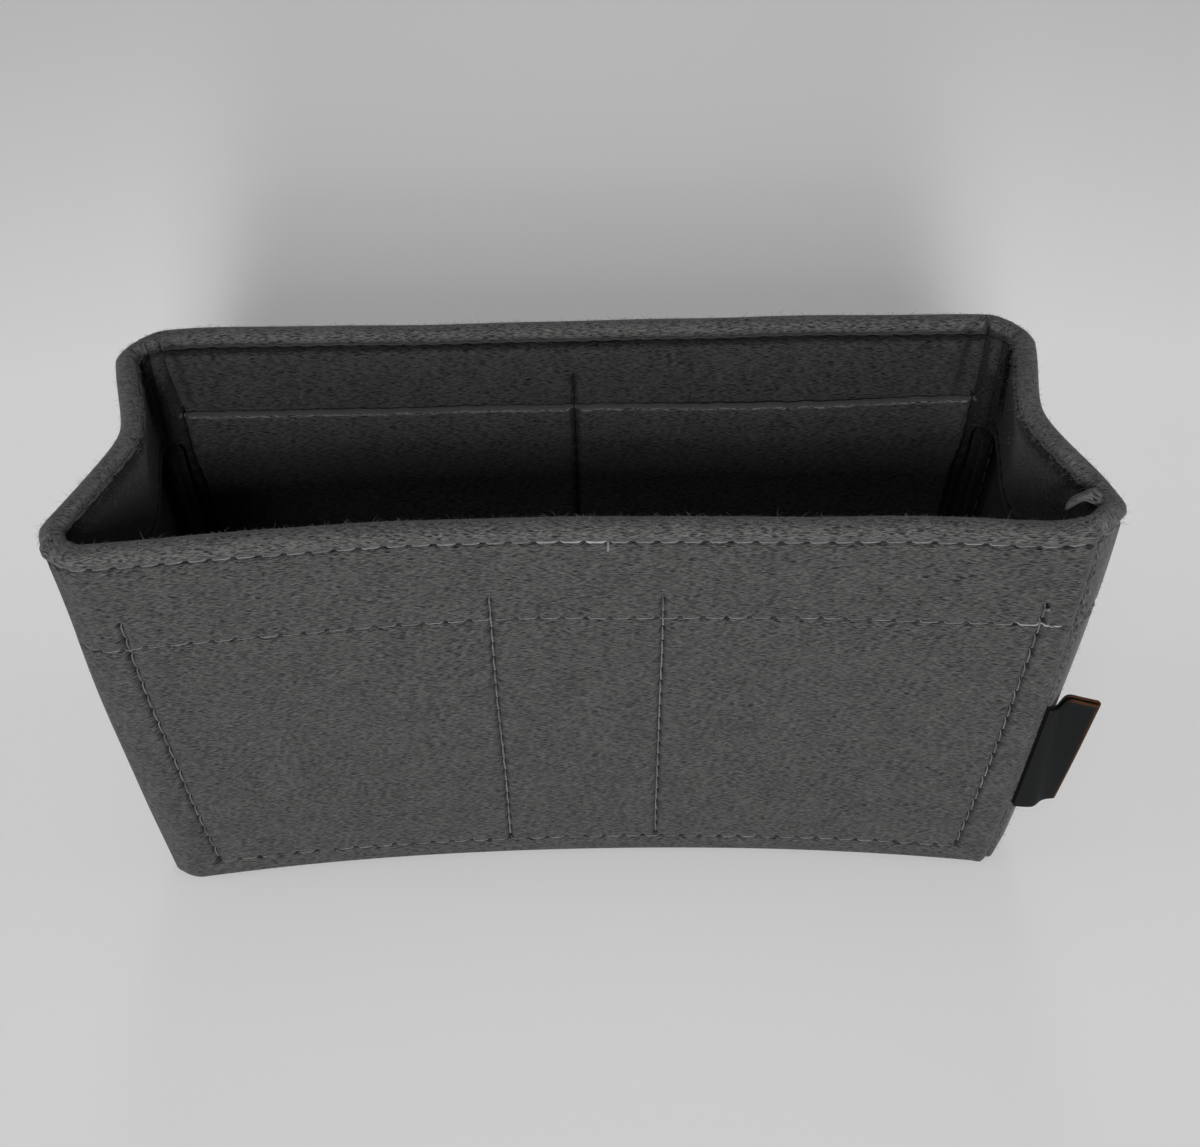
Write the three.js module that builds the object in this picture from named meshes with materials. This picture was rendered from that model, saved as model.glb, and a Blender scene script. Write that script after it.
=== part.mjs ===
// Handbag organizer insert: an open-topped box of grey felt, sewn from a front and a back
// panel, two side gussets, a bottom, two inner pocket panels and a folded side tag.
// Millimetres, +Z up, +X along the long side, -Y towards the front. The origin is on the
// underside of the bottom, at its middle.
import * as THREE from 'three';

// Overall outside size of the box
const height = 128.4;
const depth = 76.4;
// Half length of the box between the outermost side faces, at its front and back corners
const frontReachTop = 114.2;
const frontReachBottom = 114.8;
const backReachTop = 109.2;
const backReachBottom = 110.4;
// Outward swell of the sides at half height
const sideSwell = 1.2;
// Rounding of the upright corners, seen from above
const frontCornerRadius = 10;
const backCornerRadius = 10;
// How far the middle of a wall bows into the box, at the rim and at the floor
const frontBowTop = 5.1;
const frontBowBottom = 6.8;
const backBowTop = 0.6;
const backBowBottom = 0.9;
// The bowed front stands clear of the floor in its middle, and no longer above this height
const frontLift = 0.8;
const liftFade = 20;
// The crease that folds each side inwards: its depth at the rim and its place along the side
const leftCreaseDepth = 9;
const rightCreaseDepth = 6.8;
const creaseY = 2;

// Felt, its folded rim and its seams
const felt = 2.4;
const foldGap = 0.2;
const facingDepth = 33;
const facingEdge = 0.6;
const lowerEdgeRound = 1.8;
const seamGap = 0.3;
const seamRound = 1.5;
const rimSeamRound = 0.9;
const allowance = 4;
const allowanceFoot = 4.4;
const allowanceStep = 0.6;
const allowanceHead = 1.2;
const bottomGap = 0.5;

// Pocket panels
const pocketDrop = 22;
const pocketFoot = 5.2;
const pocketGap = 0.3;
const pocketEaseDepth = 16;
const frontPocketClear = 0.9;
const backPocketClear = 0.6;
const frontPocketTaper = 2.7;
const backPocketTaper = 1.5;
const pocketMargin = 1.5;
const dividerX = 19;
const outerMouthBow = 1.3;
const middleMouthBow = 0.6;
const leftMouthBow = 0.8;
const rightMouthBow = 2.2;
const mouthBowDepth = 45;

// Sewing thread and where its rows run
const threadWidth = 0.9;
const threadThickness = 0.5;
const threadGap = 0.3;
const rimRowDepth = 4.4;
const hemRowDepth = 29.3;
const bottomRowHeight = 7.4;
const rowEndClear = 0.6;
const crossingReach = 1.2;
const crossingRamp = 2;
const tailReach = 8;
const bottomSeamInset = 1.5;
const bottomSeamEndClear = 3;

// Side tag: a folded ribbon that stands out of the front right seam
const tagFoot = 28;
const tagHeight = 42;
const tagLength = 12.6;
const tagRibbon = 0.45;
const tagLoop = 0.55;
const tagMouth = 0.15;
const tagClear = 0.55;
// Bow of the tag away from a straight line, at its foot and at its head
const tagBowFoot = -0.6;
const tagBowHead = 2.4;

// Turns, in degrees from the wall's face, at which each corner's seam lies
const frontLeftSeamTurn = 60;
const frontRightSeamTurn = 32;
const backSeamTurn = 45;
const tagHeadingTurn = 100;

// Shares without a unit
const creaseFadeShare = 1.4;
const creaseRoundShare = 0.17;
const seamShoulderShare = 0.3;
const creasePlaceShares = [0.72, 0.42, 0.19];
const pocketPlaceShares = [0.25, 0.5, 0.75];
const tagSwellShares = [0, 0.45, 0.8, 1, 1];

// Counts of steps along curves and heights
const wallSteps = 12;
const cornerSteps = 3;
const rowCornerSteps = 3;
const finSteps = 3;
const lowerEdgeSteps = 2;
const rollSteps = 3;
const flankSeamSteps = 4;
const tagSteps = 8;
const tagRises = 3;

// Turn, in degrees, at which the rolled rim closes on its top
const rollEndTurn = 78;

// Colours and roughnesses
const feltFinish = { color: 0x4c4c4d, roughness: 0.95 };
const pocketFinish = { color: 0x464648, roughness: 0.95 };
const threadFinish = { color: 0x8a8a8a, roughness: 0.7 };
const ribbonFinish = { color: 0x1c1b1a, roughness: 0.55 };

// Sizes that follow from the ones above
const rimThickness = 2 * felt + foldGap;
const facingFoot = height - facingDepth;
const allowanceTop = facingFoot - allowanceHead;
const finFoot = allowanceFoot + allowanceStep;
const finHead = allowanceTop - allowanceStep;
const pocketTop = height - pocketDrop;
const tailTop = pocketTop + tailReach;
const easeFoot = facingFoot - pocketEaseDepth;
const pocketStandoff = 2 * threadGap + threadThickness;
const { sin, cos, PI, sqrt, pow, max, min, abs, sign } = Math;
const rad = THREE.MathUtils.degToRad;
const mix = THREE.MathUtils.lerp;
const P = (x, y, z) => new THREE.Vector3(x, y, z);

const ends = {
  front: {
    side: -1,
    radius: frontCornerRadius,
    reach: [frontReachBottom, frontReachTop],
    bow: [frontBowBottom, frontBowTop],
    lift: frontLift,
    turn: { left: rad(frontLeftSeamTurn), right: rad(frontRightSeamTurn) },
  },
  back: {
    side: 1,
    radius: backCornerRadius,
    reach: [backReachBottom, backReachTop],
    bow: [backBowBottom, backBowTop],
    lift: 0,
    turn: { left: rad(backSeamTurn), right: rad(backSeamTurn) },
  },
};
const flanks = {
  left: { side: -1, crease: leftCreaseDepth },
  right: { side: 1, crease: rightCreaseDepth },
};

// Solids: a skin over a row of sections, each an outer and an inner line of points

function sectionSolid(name, sections, finish) {
  const rings = sections.map((s) => [...s.outer, ...[...s.inner].reverse()]);
  const count = rings[0].length;
  const half = count / 2;
  const corners = rings.flat();
  const faces = [];
  for (let k = 0; k + 1 < rings.length; k += 1) {
    for (let i = 0; i < count; i += 1) {
      const a = k * count + i;
      const b = k * count + ((i + 1) % count);
      faces.push([a, b, b + count], [a, b + count, a + count]);
    }
  }
  const last = (rings.length - 1) * count;
  for (let i = 0; i + 1 < half; i += 1) {
    const far = count - 1 - i;
    faces.push([i, far, far - 1], [i, far - 1, i + 1]);
    faces.push([last + i, last + far - 1, last + far], [last + i, last + i + 1, last + far - 1]);
  }
  const volume = faces.reduce((sum, [a, b, c]) => {
    const normal = P(0, 0, 0).crossVectors(corners[b], corners[c]);
    return sum + corners[a].dot(normal);
  }, 0);
  const outward = volume > 0 ? faces : faces.map(([a, b, c]) => [a, c, b]);
  const geometry = new THREE.BufferGeometry();
  geometry.setAttribute(
    'position',
    new THREE.Float32BufferAttribute(corners.flatMap((p) => [p.x, p.y, p.z]), 3),
  );
  geometry.setIndex(outward.flat());
  geometry.computeVertexNormals();
  const mesh = new THREE.Mesh(geometry, new THREE.MeshStandardMaterial({ metalness: 0, ...finish }));
  mesh.name = name;
  return mesh;
}

// Outline of the box, seen from above, at a height z

const level = (pair, z) => mix(pair[0], pair[1], z / height);
const reach = (end, z) => level(end.reach, z) + sideSwell * sin((PI * z) / height);
const straightHalf = (end, z) => reach(end, z) - end.radius;
const bowShape = (end, x, z) => 1 - pow(x / straightHalf(end, z), 2);

function wallPoint(end, x, z, inward) {
  const face = depth / 2 - level(end.bow, z) * bowShape(end, x, z);
  const lift = end.lift * bowShape(end, x, z) * max(0, 1 - z / liftFade);
  return P(x, end.side * (face - inward), z + lift);
}

function cornerPoint(end, flank, turn, z, inward) {
  const radius = end.radius - inward;
  const x = straightHalf(end, z) + radius * sin(turn);
  const y = depth / 2 - end.radius + radius * cos(turn);
  return P(flank.side * x, end.side * y, z);
}

// A point beside a corner's seam: across is measured from the seam into the wall
function seamPoint(end, flank, turn, across, z, inward) {
  const point = cornerPoint(end, flank, turn, z, inward);
  point.x -= flank.side * cos(turn) * across;
  point.y += end.side * sin(turn) * across;
  return point;
}

// 0 at the corners, 1 at the crease, with a rounded fold
function creaseShape(v) {
  const e = creaseRoundShare;
  return (sqrt(1 + e * e) - sqrt(v * v + e * e)) / (sqrt(1 + e * e) - e);
}

function flankPoint(flank, y, z, inward) {
  const yFront = depth / 2 - ends.front.radius;
  const yBack = depth / 2 - ends.back.radius;
  const line = mix(reach(ends.front, z), reach(ends.back, z), (y + yFront) / (yFront + yBack));
  const v = y < creaseY ? (creaseY - y) / (creaseY + yFront) : (y - creaseY) / (yBack - creaseY);
  const fold = flank.crease * pow(max(z, 0) / height, creaseFadeShare) * creaseShape(v);
  return P(flank.side * (line - fold - inward), y, z);
}

// Heights at which a folded-over panel changes its section

function panelLevels() {
  const levels = [];
  const add = (z, thickness, fin, outerCut, innerCut, round) =>
    levels.push({ z, thickness, fin, outerCut, innerCut, round });
  for (let i = 0; i <= lowerEdgeSteps; i += 1) {
    const turn = (PI / 2) * (1 - i / lowerEdgeSteps);
    add(lowerEdgeRound * (1 - sin(turn)), felt, 0, lowerEdgeRound * (1 - cos(turn)), 0, seamRound);
  }
  add(allowanceFoot, felt, 0, 0, 0, seamRound);
  for (let i = 0; i <= finSteps; i += 1) {
    add(mix(finFoot, finHead, i / finSteps), felt, allowance, 0, 0, seamRound);
  }
  add(allowanceTop, felt, 0, 0, 0, seamRound);
  add(facingFoot, felt, 0, 0, 0, seamRound);
  add(facingFoot + facingEdge, rimThickness, 0, 0, 0, seamRound);
  for (let i = 0; i <= rollSteps; i += 1) {
    const turn = (rad(rollEndTurn) * i) / rollSteps;
    const cut = (rimThickness / 2) * (1 - cos(turn));
    const rise = (rimThickness / 2) * (sin(turn) / sin(rad(rollEndTurn)));
    add(height - rimThickness / 2 + rise, rimThickness, 0, cut, cut, rimSeamRound);
  }
  return levels;
}

// The end of a panel beside a seam: its rounded shoulder and its turned-in allowance.
// way is 1 for a wall and -1 for a gusset, which lie on opposite sides of the seam.

function seamEnd(end, flank, turn, way, lv) {
  const gap = seamGap / 2;
  const body = lv.thickness - lv.outerCut - lv.innerCut;
  const round = min(lv.round, body / 2);
  const at = (across, inward) => seamPoint(end, flank, turn, way * across, lv.z, inward);
  const shoulder = turn - (way * (round + gap)) / end.radius;
  const outer = [
    at(gap, lv.outerCut + round),
    at(gap + seamShoulderShare * round, lv.outerCut + seamShoulderShare * round),
    cornerPoint(end, flank, shoulder, lv.z, lv.outerCut),
  ];
  const foot = turn - way * ((gap + felt) / (end.radius - felt));
  const deep = lv.thickness - lv.innerCut;
  const tip = deep + lv.fin;
  const middle = lv.fin > 0
    ? at(gap + felt, tip)
    : cornerPoint(end, flank, mix(turn, foot, 1 / 2), lv.z, deep);
  const inner = [at(gap, tip), middle, cornerPoint(end, flank, foot, lv.z, deep)];
  return { outer, inner, shoulder, foot };
}

// Points of a corner between the panel's end and its straight part, the last included
function cornerRun(end, flank, from, to, z, inward) {
  const run = [];
  for (let i = 1; i <= cornerSteps; i += 1) {
    run.push(cornerPoint(end, flank, mix(from, to, i / cornerSteps), z, inward));
  }
  return run;
}

function wallSection(end, lv) {
  const outer = [];
  const inner = [];
  const half = (flank, turn) => {
    const tip = seamEnd(end, flank, turn, 1, lv);
    const deep = lv.thickness - lv.innerCut;
    return {
      outer: [...tip.outer, ...cornerRun(end, flank, tip.shoulder, 0, lv.z, lv.outerCut)],
      inner: [...tip.inner, ...cornerRun(end, flank, tip.foot, 0, lv.z, deep)],
    };
  };
  const left = half(flanks.left, end.turn.left);
  const right = half(flanks.right, end.turn.right);
  outer.push(...left.outer);
  inner.push(...left.inner);
  for (let i = 1; i < wallSteps; i += 1) {
    const x = straightHalf(end, lv.z) * mix(-1, 1, i / wallSteps);
    outer.push(wallPoint(end, x, lv.z, lv.outerCut));
    inner.push(wallPoint(end, x, lv.z, lv.thickness - lv.innerCut));
  }
  outer.push(...right.outer.reverse());
  inner.push(...right.inner.reverse());
  return { outer, inner };
}

// Places along a side, front to back, between the two corners
function flankPlaces() {
  const yFront = depth / 2 - ends.front.radius;
  const yBack = depth / 2 - ends.back.radius;
  const before = creasePlaceShares.map((v) => creaseY - v * (creaseY + yFront));
  const after = [...creasePlaceShares].reverse().map((v) => creaseY + v * (yBack - creaseY));
  return [...before, creaseY, ...after];
}

function gussetSection(flank, side, lv) {
  const deep = lv.thickness - lv.innerCut;
  const half = (end) => {
    const tip = seamEnd(end, flank, end.turn[side], -1, lv);
    return {
      outer: [...tip.outer, ...cornerRun(end, flank, tip.shoulder, PI / 2, lv.z, lv.outerCut)],
      inner: [...tip.inner, ...cornerRun(end, flank, tip.foot, PI / 2, lv.z, deep)],
    };
  };
  const front = half(ends.front);
  const back = half(ends.back);
  const middle = (inward) => flankPlaces().map((y) => flankPoint(flank, y, lv.z, inward));
  return {
    outer: [...front.outer, ...middle(lv.outerCut), ...back.outer.reverse()],
    inner: [...front.inner, ...middle(deep), ...back.inner.reverse()],
  };
}

// Bottom: a flat sheet just inside the lower edges of the walls and gussets

function bottomSection(z) {
  const inward = felt + bottomGap;
  const line = (end) => {
    const run = (flank) => {
      const points = [cornerPoint(end, flank, PI / 2, z, inward)];
      points.push(...cornerRun(end, flank, PI / 2, 0, z, inward));
      return points;
    };
    const points = run(flanks.left);
    for (let i = 1; i < wallSteps; i += 1) {
      const x = straightHalf(end, z) * mix(-1, 1, i / wallSteps);
      points.push(wallPoint(end, x, z, inward).setZ(z));
    }
    points.push(...run(flanks.right).reverse());
    return points;
  };
  return { outer: line(ends.front), inner: line(ends.back) };
}

// Pocket panels

const pockets = {
  front: {
    end: ends.front,
    clear: frontPocketClear,
    taper: frontPocketTaper,
    dividers: [-dividerX, dividerX],
    mouths: [outerMouthBow, middleMouthBow, outerMouthBow],
  },
  back: {
    end: ends.back,
    clear: backPocketClear,
    taper: backPocketTaper,
    dividers: [0],
    mouths: [leftMouthBow, rightMouthBow],
  },
};

// The pocket ends short of the tips of the seam allowances
function pocketHalf(pocket, z) {
  const tipX = (flank, turn) =>
    abs(seamPoint(pocket.end, flank, turn, seamGap / 2 + felt, z, felt + allowance).x);
  const room = min(tipX(flanks.left, pocket.end.turn.left), tipX(flanks.right, pocket.end.turn.right));
  return room - pocket.clear - pocket.taper * (1 - z / height);
}

const rowHalf = (pocket, z) => pocketHalf(pocket, z) - pocketMargin;

// How deep the pocket's outer face lies inside the wall's outer face
function pocketDepth(pocket, x, z) {
  const near = felt + pocketGap;
  const off = rimThickness + pocketStandoff;
  const eased = near + (off - near) * THREE.MathUtils.smoothstep(z, easeFoot, facingFoot);
  const seams = [-rowHalf(pocket, z), ...pocket.dividers, rowHalf(pocket, z)];
  let bulge = 0;
  pocket.mouths.forEach((mouth, i) => {
    if (x > seams[i] && x < seams[i + 1]) {
      const share = (x - seams[i]) / (seams[i + 1] - seams[i]);
      const open = THREE.MathUtils.smoothstep(z, pocketTop - mouthBowDepth, pocketTop);
      bulge = mouth * pow(sin(PI * share), 2) * open;
    }
  });
  return eased + bulge;
}

function pocketPlaces(pocket, z) {
  const seams = [-rowHalf(pocket, z), ...pocket.dividers, rowHalf(pocket, z)];
  const places = [-pocketHalf(pocket, z)];
  for (let i = 0; i + 1 < seams.length; i += 1) {
    places.push(seams[i]);
    places.push(...pocketPlaceShares.map((share) => mix(seams[i], seams[i + 1], share)));
  }
  places.push(rowHalf(pocket, z), pocketHalf(pocket, z));
  return places;
}

const pocketHeights = () => [
  pocketFoot,
  bottomRowHeight,
  mix(pocketFoot, easeFoot, 1 / 2),
  easeFoot,
  mix(easeFoot, facingFoot, 1 / 2),
  facingFoot,
  pocketTop,
];

function pocketPanel(name, pocket) {
  const sections = pocketHeights().map((z) => {
    const places = pocketPlaces(pocket, z);
    const face = (extra) =>
      places.map((x) => wallPoint(pocket.end, x, z, pocketDepth(pocket, x, z) + extra));
    return { outer: face(0), inner: face(felt) };
  });
  return sectionSolid(name, sections, pocketFinish);
}

// Threads: flat strips that lie just clear of the felt, along a line of places. Each place
// has a point on the felt, the direction away from the felt and the strip's cross direction.

function threadStrip(name, places) {
  const sections = places.map(({ point, away, across, raise = 0 }) => {
    const side = across.clone().multiplyScalar(threadWidth / 2);
    const low = point.clone().addScaledVector(away, threadGap + raise);
    const high = low.clone().addScaledVector(away, threadThickness);
    return {
      outer: [low.clone().sub(side), low.clone().add(side)],
      inner: [high.clone().sub(side), high.clone().add(side)],
    };
  });
  return sectionSolid(name, sections, threadFinish);
}

const up = P(0, 0, 1);

// A row along a wall, round into both of its corners
function wallRow(name, end, z, inward) {
  const facing = inward > 0 ? -1 : 1;
  const clear = (seamRound + rowEndClear) / (end.radius - inward);
  const turnAway = (flank, turn) => P(flank.side * sin(turn), end.side * cos(turn), 0);
  const corner = (flank, turn) => {
    const from = inward > 0 ? turn - (felt + rowEndClear) / (end.radius - inward) : turn - clear;
    const places = [];
    for (let i = 0; i < rowCornerSteps; i += 1) {
      const at = mix(max(from, 0), 0, i / rowCornerSteps);
      const point = cornerPoint(end, flank, at, z, inward);
      places.push({ point, away: turnAway(flank, at).multiplyScalar(facing), across: up });
    }
    return longEnough(places);
  };
  const places = corner(flanks.left, end.turn.left);
  for (let i = 0; i <= wallSteps; i += 1) {
    const x = straightHalf(end, z) * mix(-1, 1, i / wallSteps);
    const away = P(0, end.side * facing, 0);
    places.push({ point: wallPoint(end, x, z, inward), away, across: up });
  }
  places.push(...corner(flanks.right, end.turn.right).reverse());
  return threadStrip(name, places);
}

// Drops a corner's places where the seam leaves no room beside the straight part
function longEnough(places) {
  const length = places[0].point.distanceTo(places[places.length - 1].point);
  return length > threadWidth ? places : [];
}

// A row along a gusset between its two seams
function flankRow(name, flank, side, z, inward) {
  const facing = inward > 0 ? -1 : 1;
  const run = (end) => {
    const room = inward > 0 ? felt + rowEndClear : seamRound + rowEndClear;
    const from = min(end.turn[side] + room / (end.radius - inward), PI / 2);
    const places = [];
    for (let i = from < PI / 2 ? 0 : rowCornerSteps; i <= rowCornerSteps; i += 1) {
      const at = mix(from, PI / 2, i / rowCornerSteps);
      const away = P(flank.side * sin(at), end.side * cos(at), 0).multiplyScalar(facing);
      places.push({ point: cornerPoint(end, flank, at, z, inward), away, across: up });
    }
    return places;
  };
  const middle = flankPlaces().map((y) => ({
    point: flankPoint(flank, y, z, inward),
    away: P(flank.side * facing, 0, 0),
    across: up,
  }));
  return threadStrip(name, [...run(ends.front), ...middle, ...run(ends.back).reverse()]);
}

// An upright row through wall and pocket: on the wall's outer face it passes over the hem row.
// A row with a tail runs on above the pocket.
function uprightOuterRow(name, pocket, placeX, tail) {
  const hem = height - hemRowDepth;
  const foot = bottomRowHeight + threadWidth / 2 + rowEndClear;
  const raised = threadThickness + threadGap;
  const stops = [
    [foot, 0],
    [liftFade, 0],
    [mix(liftFade, hem, 1 / 2), 0],
    [hem - crossingReach - crossingRamp, 0],
    [hem - crossingReach, raised],
    [hem + crossingReach, raised],
    [hem + crossingReach + crossingRamp, 0],
    [tail ? tailTop : pocketTop, 0],
  ];
  const places = stops.map(([z, raise]) => ({
    point: wallPoint(pocket.end, placeX(z), z, 0),
    away: P(0, pocket.end.side, 0),
    across: P(1, 0, 0),
    raise,
  }));
  return threadStrip(name, places);
}

function uprightInnerRow(name, pocket, placeX, tail) {
  const foot = bottomRowHeight + threadWidth / 2 + rowEndClear;
  const heights = pocketHeights().map((z) => max(z, foot)).slice(1);
  const inwards = P(0, -pocket.end.side, 0);
  const across = P(1, 0, 0);
  const places = heights.map((z) => ({
    point: wallPoint(pocket.end, placeX(z), z, pocketDepth(pocket, placeX(z), z) + felt),
    away: inwards,
    across,
  }));
  return threadStrip(name, tail ? [...places, ...tailPlaces(pocket, placeX, across, inwards)] : places);
}

// The back divider's inner row runs on over the pocket's top edge and up the facing
function tailPlaces(pocket, placeX, across, inwards) {
  const x = placeX(pocketTop);
  const slanted = inwards.clone().add(up).normalize();
  const outer = pocketDepth(pocket, x, pocketTop);
  const at = (z, inward, away) => ({ point: wallPoint(pocket.end, x, z, inward), away, across });
  return [
    at(pocketTop, outer + felt, slanted),
    at(pocketTop, outer, slanted),
    at(pocketTop + crossingRamp, rimThickness, inwards),
    at(tailTop, rimThickness, inwards),
  ];
}

// The row that closes the foot of a pocket, on the wall's outer or the pocket's inner face
function pocketFootRow(name, pocket, inside) {
  const z = bottomRowHeight;
  const places = pocketPlaces(pocket, z).slice(1, -1).map((x) => ({
    point: wallPoint(pocket.end, x, z, inside ? pocketDepth(pocket, x, z) + felt : 0),
    away: P(0, pocket.end.side * (inside ? -1 : 1), 0),
    across: up,
  }));
  return threadStrip(name, places);
}

// A corner seam's thread, on the turned-in allowance of the wall or of the gusset
function cornerSeamRow(name, end, flank, turn, way) {
  const inward = felt + allowance / 2;
  const away = P(-flank.side * cos(turn), end.side * sin(turn), 0).multiplyScalar(way);
  const across = P(flank.side * sin(turn), end.side * cos(turn), 0);
  const places = [];
  for (let i = 0; i <= finSteps; i += 1) {
    const z = mix(finFoot, finHead, i / finSteps);
    const kept = min(max(z, finFoot + rowEndClear), finHead - rowEndClear);
    const point = seamPoint(end, flank, turn, way * (seamGap / 2 + felt), kept, inward);
    places.push({ point, away, across });
  }
  return threadStrip(name, places);
}

// The seams that hold the bottom, along its four edges on its upper face

function bottomWallSeam(name, end) {
  const inward = felt + bottomGap + bottomSeamInset;
  const places = [];
  for (let i = 0; i <= wallSteps; i += 1) {
    const x = (straightHalf(end, felt) - bottomSeamEndClear) * mix(-1, 1, i / wallSteps);
    places.push({
      point: wallPoint(end, x, felt, inward).setZ(felt),
      away: up,
      across: P(0, 1, 0),
    });
  }
  return threadStrip(name, places);
}

function bottomFlankSeam(name, flank) {
  const inward = felt + bottomGap + bottomSeamInset;
  const yFront = depth / 2 - ends.front.radius - bottomSeamEndClear;
  const yBack = depth / 2 - ends.back.radius - bottomSeamEndClear;
  const places = [];
  for (let i = 0; i <= flankSeamSteps; i += 1) {
    const y = mix(-yFront, yBack, i / flankSeamSteps);
    const point = flankPoint(flank, y, 0, inward).setZ(felt);
    places.push({ point, away: up, across: P(1, 0, 0) });
  }
  return threadStrip(name, places);
}

// Side tag: one ribbon folded at its outer edge, bowed more at its head than at its foot

function tagSection(z, share) {
  const end = ends.front;
  const turn = end.turn.right;
  const heading = P(sin(rad(tagHeadingTurn)), -cos(rad(tagHeadingTurn)), 0);
  const cross = P(-heading.y, heading.x, 0);
  const root = cornerPoint(end, flanks.right, turn, z, -tagClear);
  const bow = mix(tagBowFoot, tagBowHead, share);
  const spine = (s) =>
    root
      .clone()
      .addScaledVector(heading, tagLength * s)
      .addScaledVector(cross, bow * pow(sin(PI * s), 2))
      .setZ(z);
  const swell = (s) => {
    const place = s * (tagSwellShares.length - 1);
    const i = min(Math.floor(place), tagSwellShares.length - 2);
    return mix(tagMouth, tagLoop, mix(tagSwellShares[i], tagSwellShares[i + 1], place - i));
  };
  const offsets = (thick) => {
    const left = [];
    const right = [];
    for (let i = 0; i <= tagSteps; i += 1) {
      const s = i / tagSteps;
      const reachOut = swell(s) + thick;
      left.push(spine(s).addScaledVector(cross, reachOut));
      right.push(spine(s).addScaledVector(cross, -reachOut));
    }
    const cap = spine(1).addScaledVector(heading, swell(1) + thick);
    return [...left, cap, ...right.reverse()];
  };
  return { outer: offsets(tagRibbon), inner: offsets(0) };
}

function sideTag() {
  const sections = [];
  for (let i = 0; i <= tagRises; i += 1) {
    const share = i / tagRises;
    sections.push(tagSection(tagFoot + tagHeight * share, share));
  }
  return sectionSolid('side_tag', sections, ribbonFinish);
}

// The assembly

function panels() {
  const wall = (name, end) =>
    sectionSolid(name, panelLevels().map((lv) => wallSection(end, lv)), feltFinish);
  const gusset = (name, side) =>
    sectionSolid(name, panelLevels().map((lv) => gussetSection(flanks[side], side, lv)), feltFinish);
  return [
    wall('front_panel', ends.front),
    wall('back_panel', ends.back),
    gusset('left_gusset', 'left'),
    gusset('right_gusset', 'right'),
    sectionSolid('bottom_panel', [bottomSection(0), bottomSection(felt)], feltFinish),
    pocketPanel('front_pocket', pockets.front),
    pocketPanel('back_pocket', pockets.back),
  ];
}

// Rim and hem rows run round the whole mouth, with the needle thread outside
function mouthRows() {
  const rows = { rim: height - rimRowDepth, hem: height - hemRowDepth };
  const threads = [];
  for (const [row, z] of Object.entries(rows)) {
    for (const [layer, inward] of [['needle', 0], ['bobbin', rimThickness]]) {
      threads.push(wallRow(`front_${row}_${layer}_thread`, ends.front, z, inward));
      threads.push(wallRow(`back_${row}_${layer}_thread`, ends.back, z, inward));
      threads.push(flankRow(`left_${row}_${layer}_thread`, flanks.left, 'left', z, inward));
      threads.push(flankRow(`right_${row}_${layer}_thread`, flanks.right, 'right', z, inward));
    }
  }
  return threads;
}

function pocketRows() {
  const threads = [];
  for (const [name, pocket] of Object.entries(pockets)) {
    const uprights = { left_side: (z) => -rowHalf(pocket, z), right_side: (z) => rowHalf(pocket, z) };
    pocket.dividers.forEach((x) => {
      const label = { '-1': 'left_divider', 0: 'divider', 1: 'right_divider' }[sign(x)];
      uprights[label] = () => x;
    });
    for (const [label, placeX] of Object.entries(uprights)) {
      const row = `${name}_pocket_${label}`;
      const tail = label === 'divider';
      threads.push(uprightOuterRow(`${row}_needle_thread`, pocket, placeX, tail));
      threads.push(uprightInnerRow(`${row}_bobbin_thread`, pocket, placeX, tail));
    }
    threads.push(pocketFootRow(`${name}_pocket_foot_needle_thread`, pocket, false));
    threads.push(pocketFootRow(`${name}_pocket_foot_bobbin_thread`, pocket, true));
  }
  return threads;
}

function seamRows() {
  const threads = [];
  for (const [endName, end] of Object.entries(ends)) {
    for (const [side, flank] of Object.entries(flanks)) {
      const turn = end.turn[side];
      const corner = `${endName}_${side}_corner`;
      threads.push(cornerSeamRow(`${corner}_needle_thread`, end, flank, turn, 1));
      threads.push(cornerSeamRow(`${corner}_bobbin_thread`, end, flank, turn, -1));
    }
    threads.push(bottomWallSeam(`${endName}_bottom_seam_thread`, end));
  }
  threads.push(bottomFlankSeam('left_bottom_seam_thread', flanks.left));
  threads.push(bottomFlankSeam('right_bottom_seam_thread', flanks.right));
  return threads;
}

const group = new THREE.Group();
group.add(...panels(), ...mouthRows(), ...pocketRows(), ...seamRows(), sideTag());

export default group;
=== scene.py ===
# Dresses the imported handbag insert: felt panels, pockets, gussets, stitches, fibres and tag.
import math
from functools import partial

import bpy
import numpy as np
from mathutils import Matrix, Vector


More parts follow.
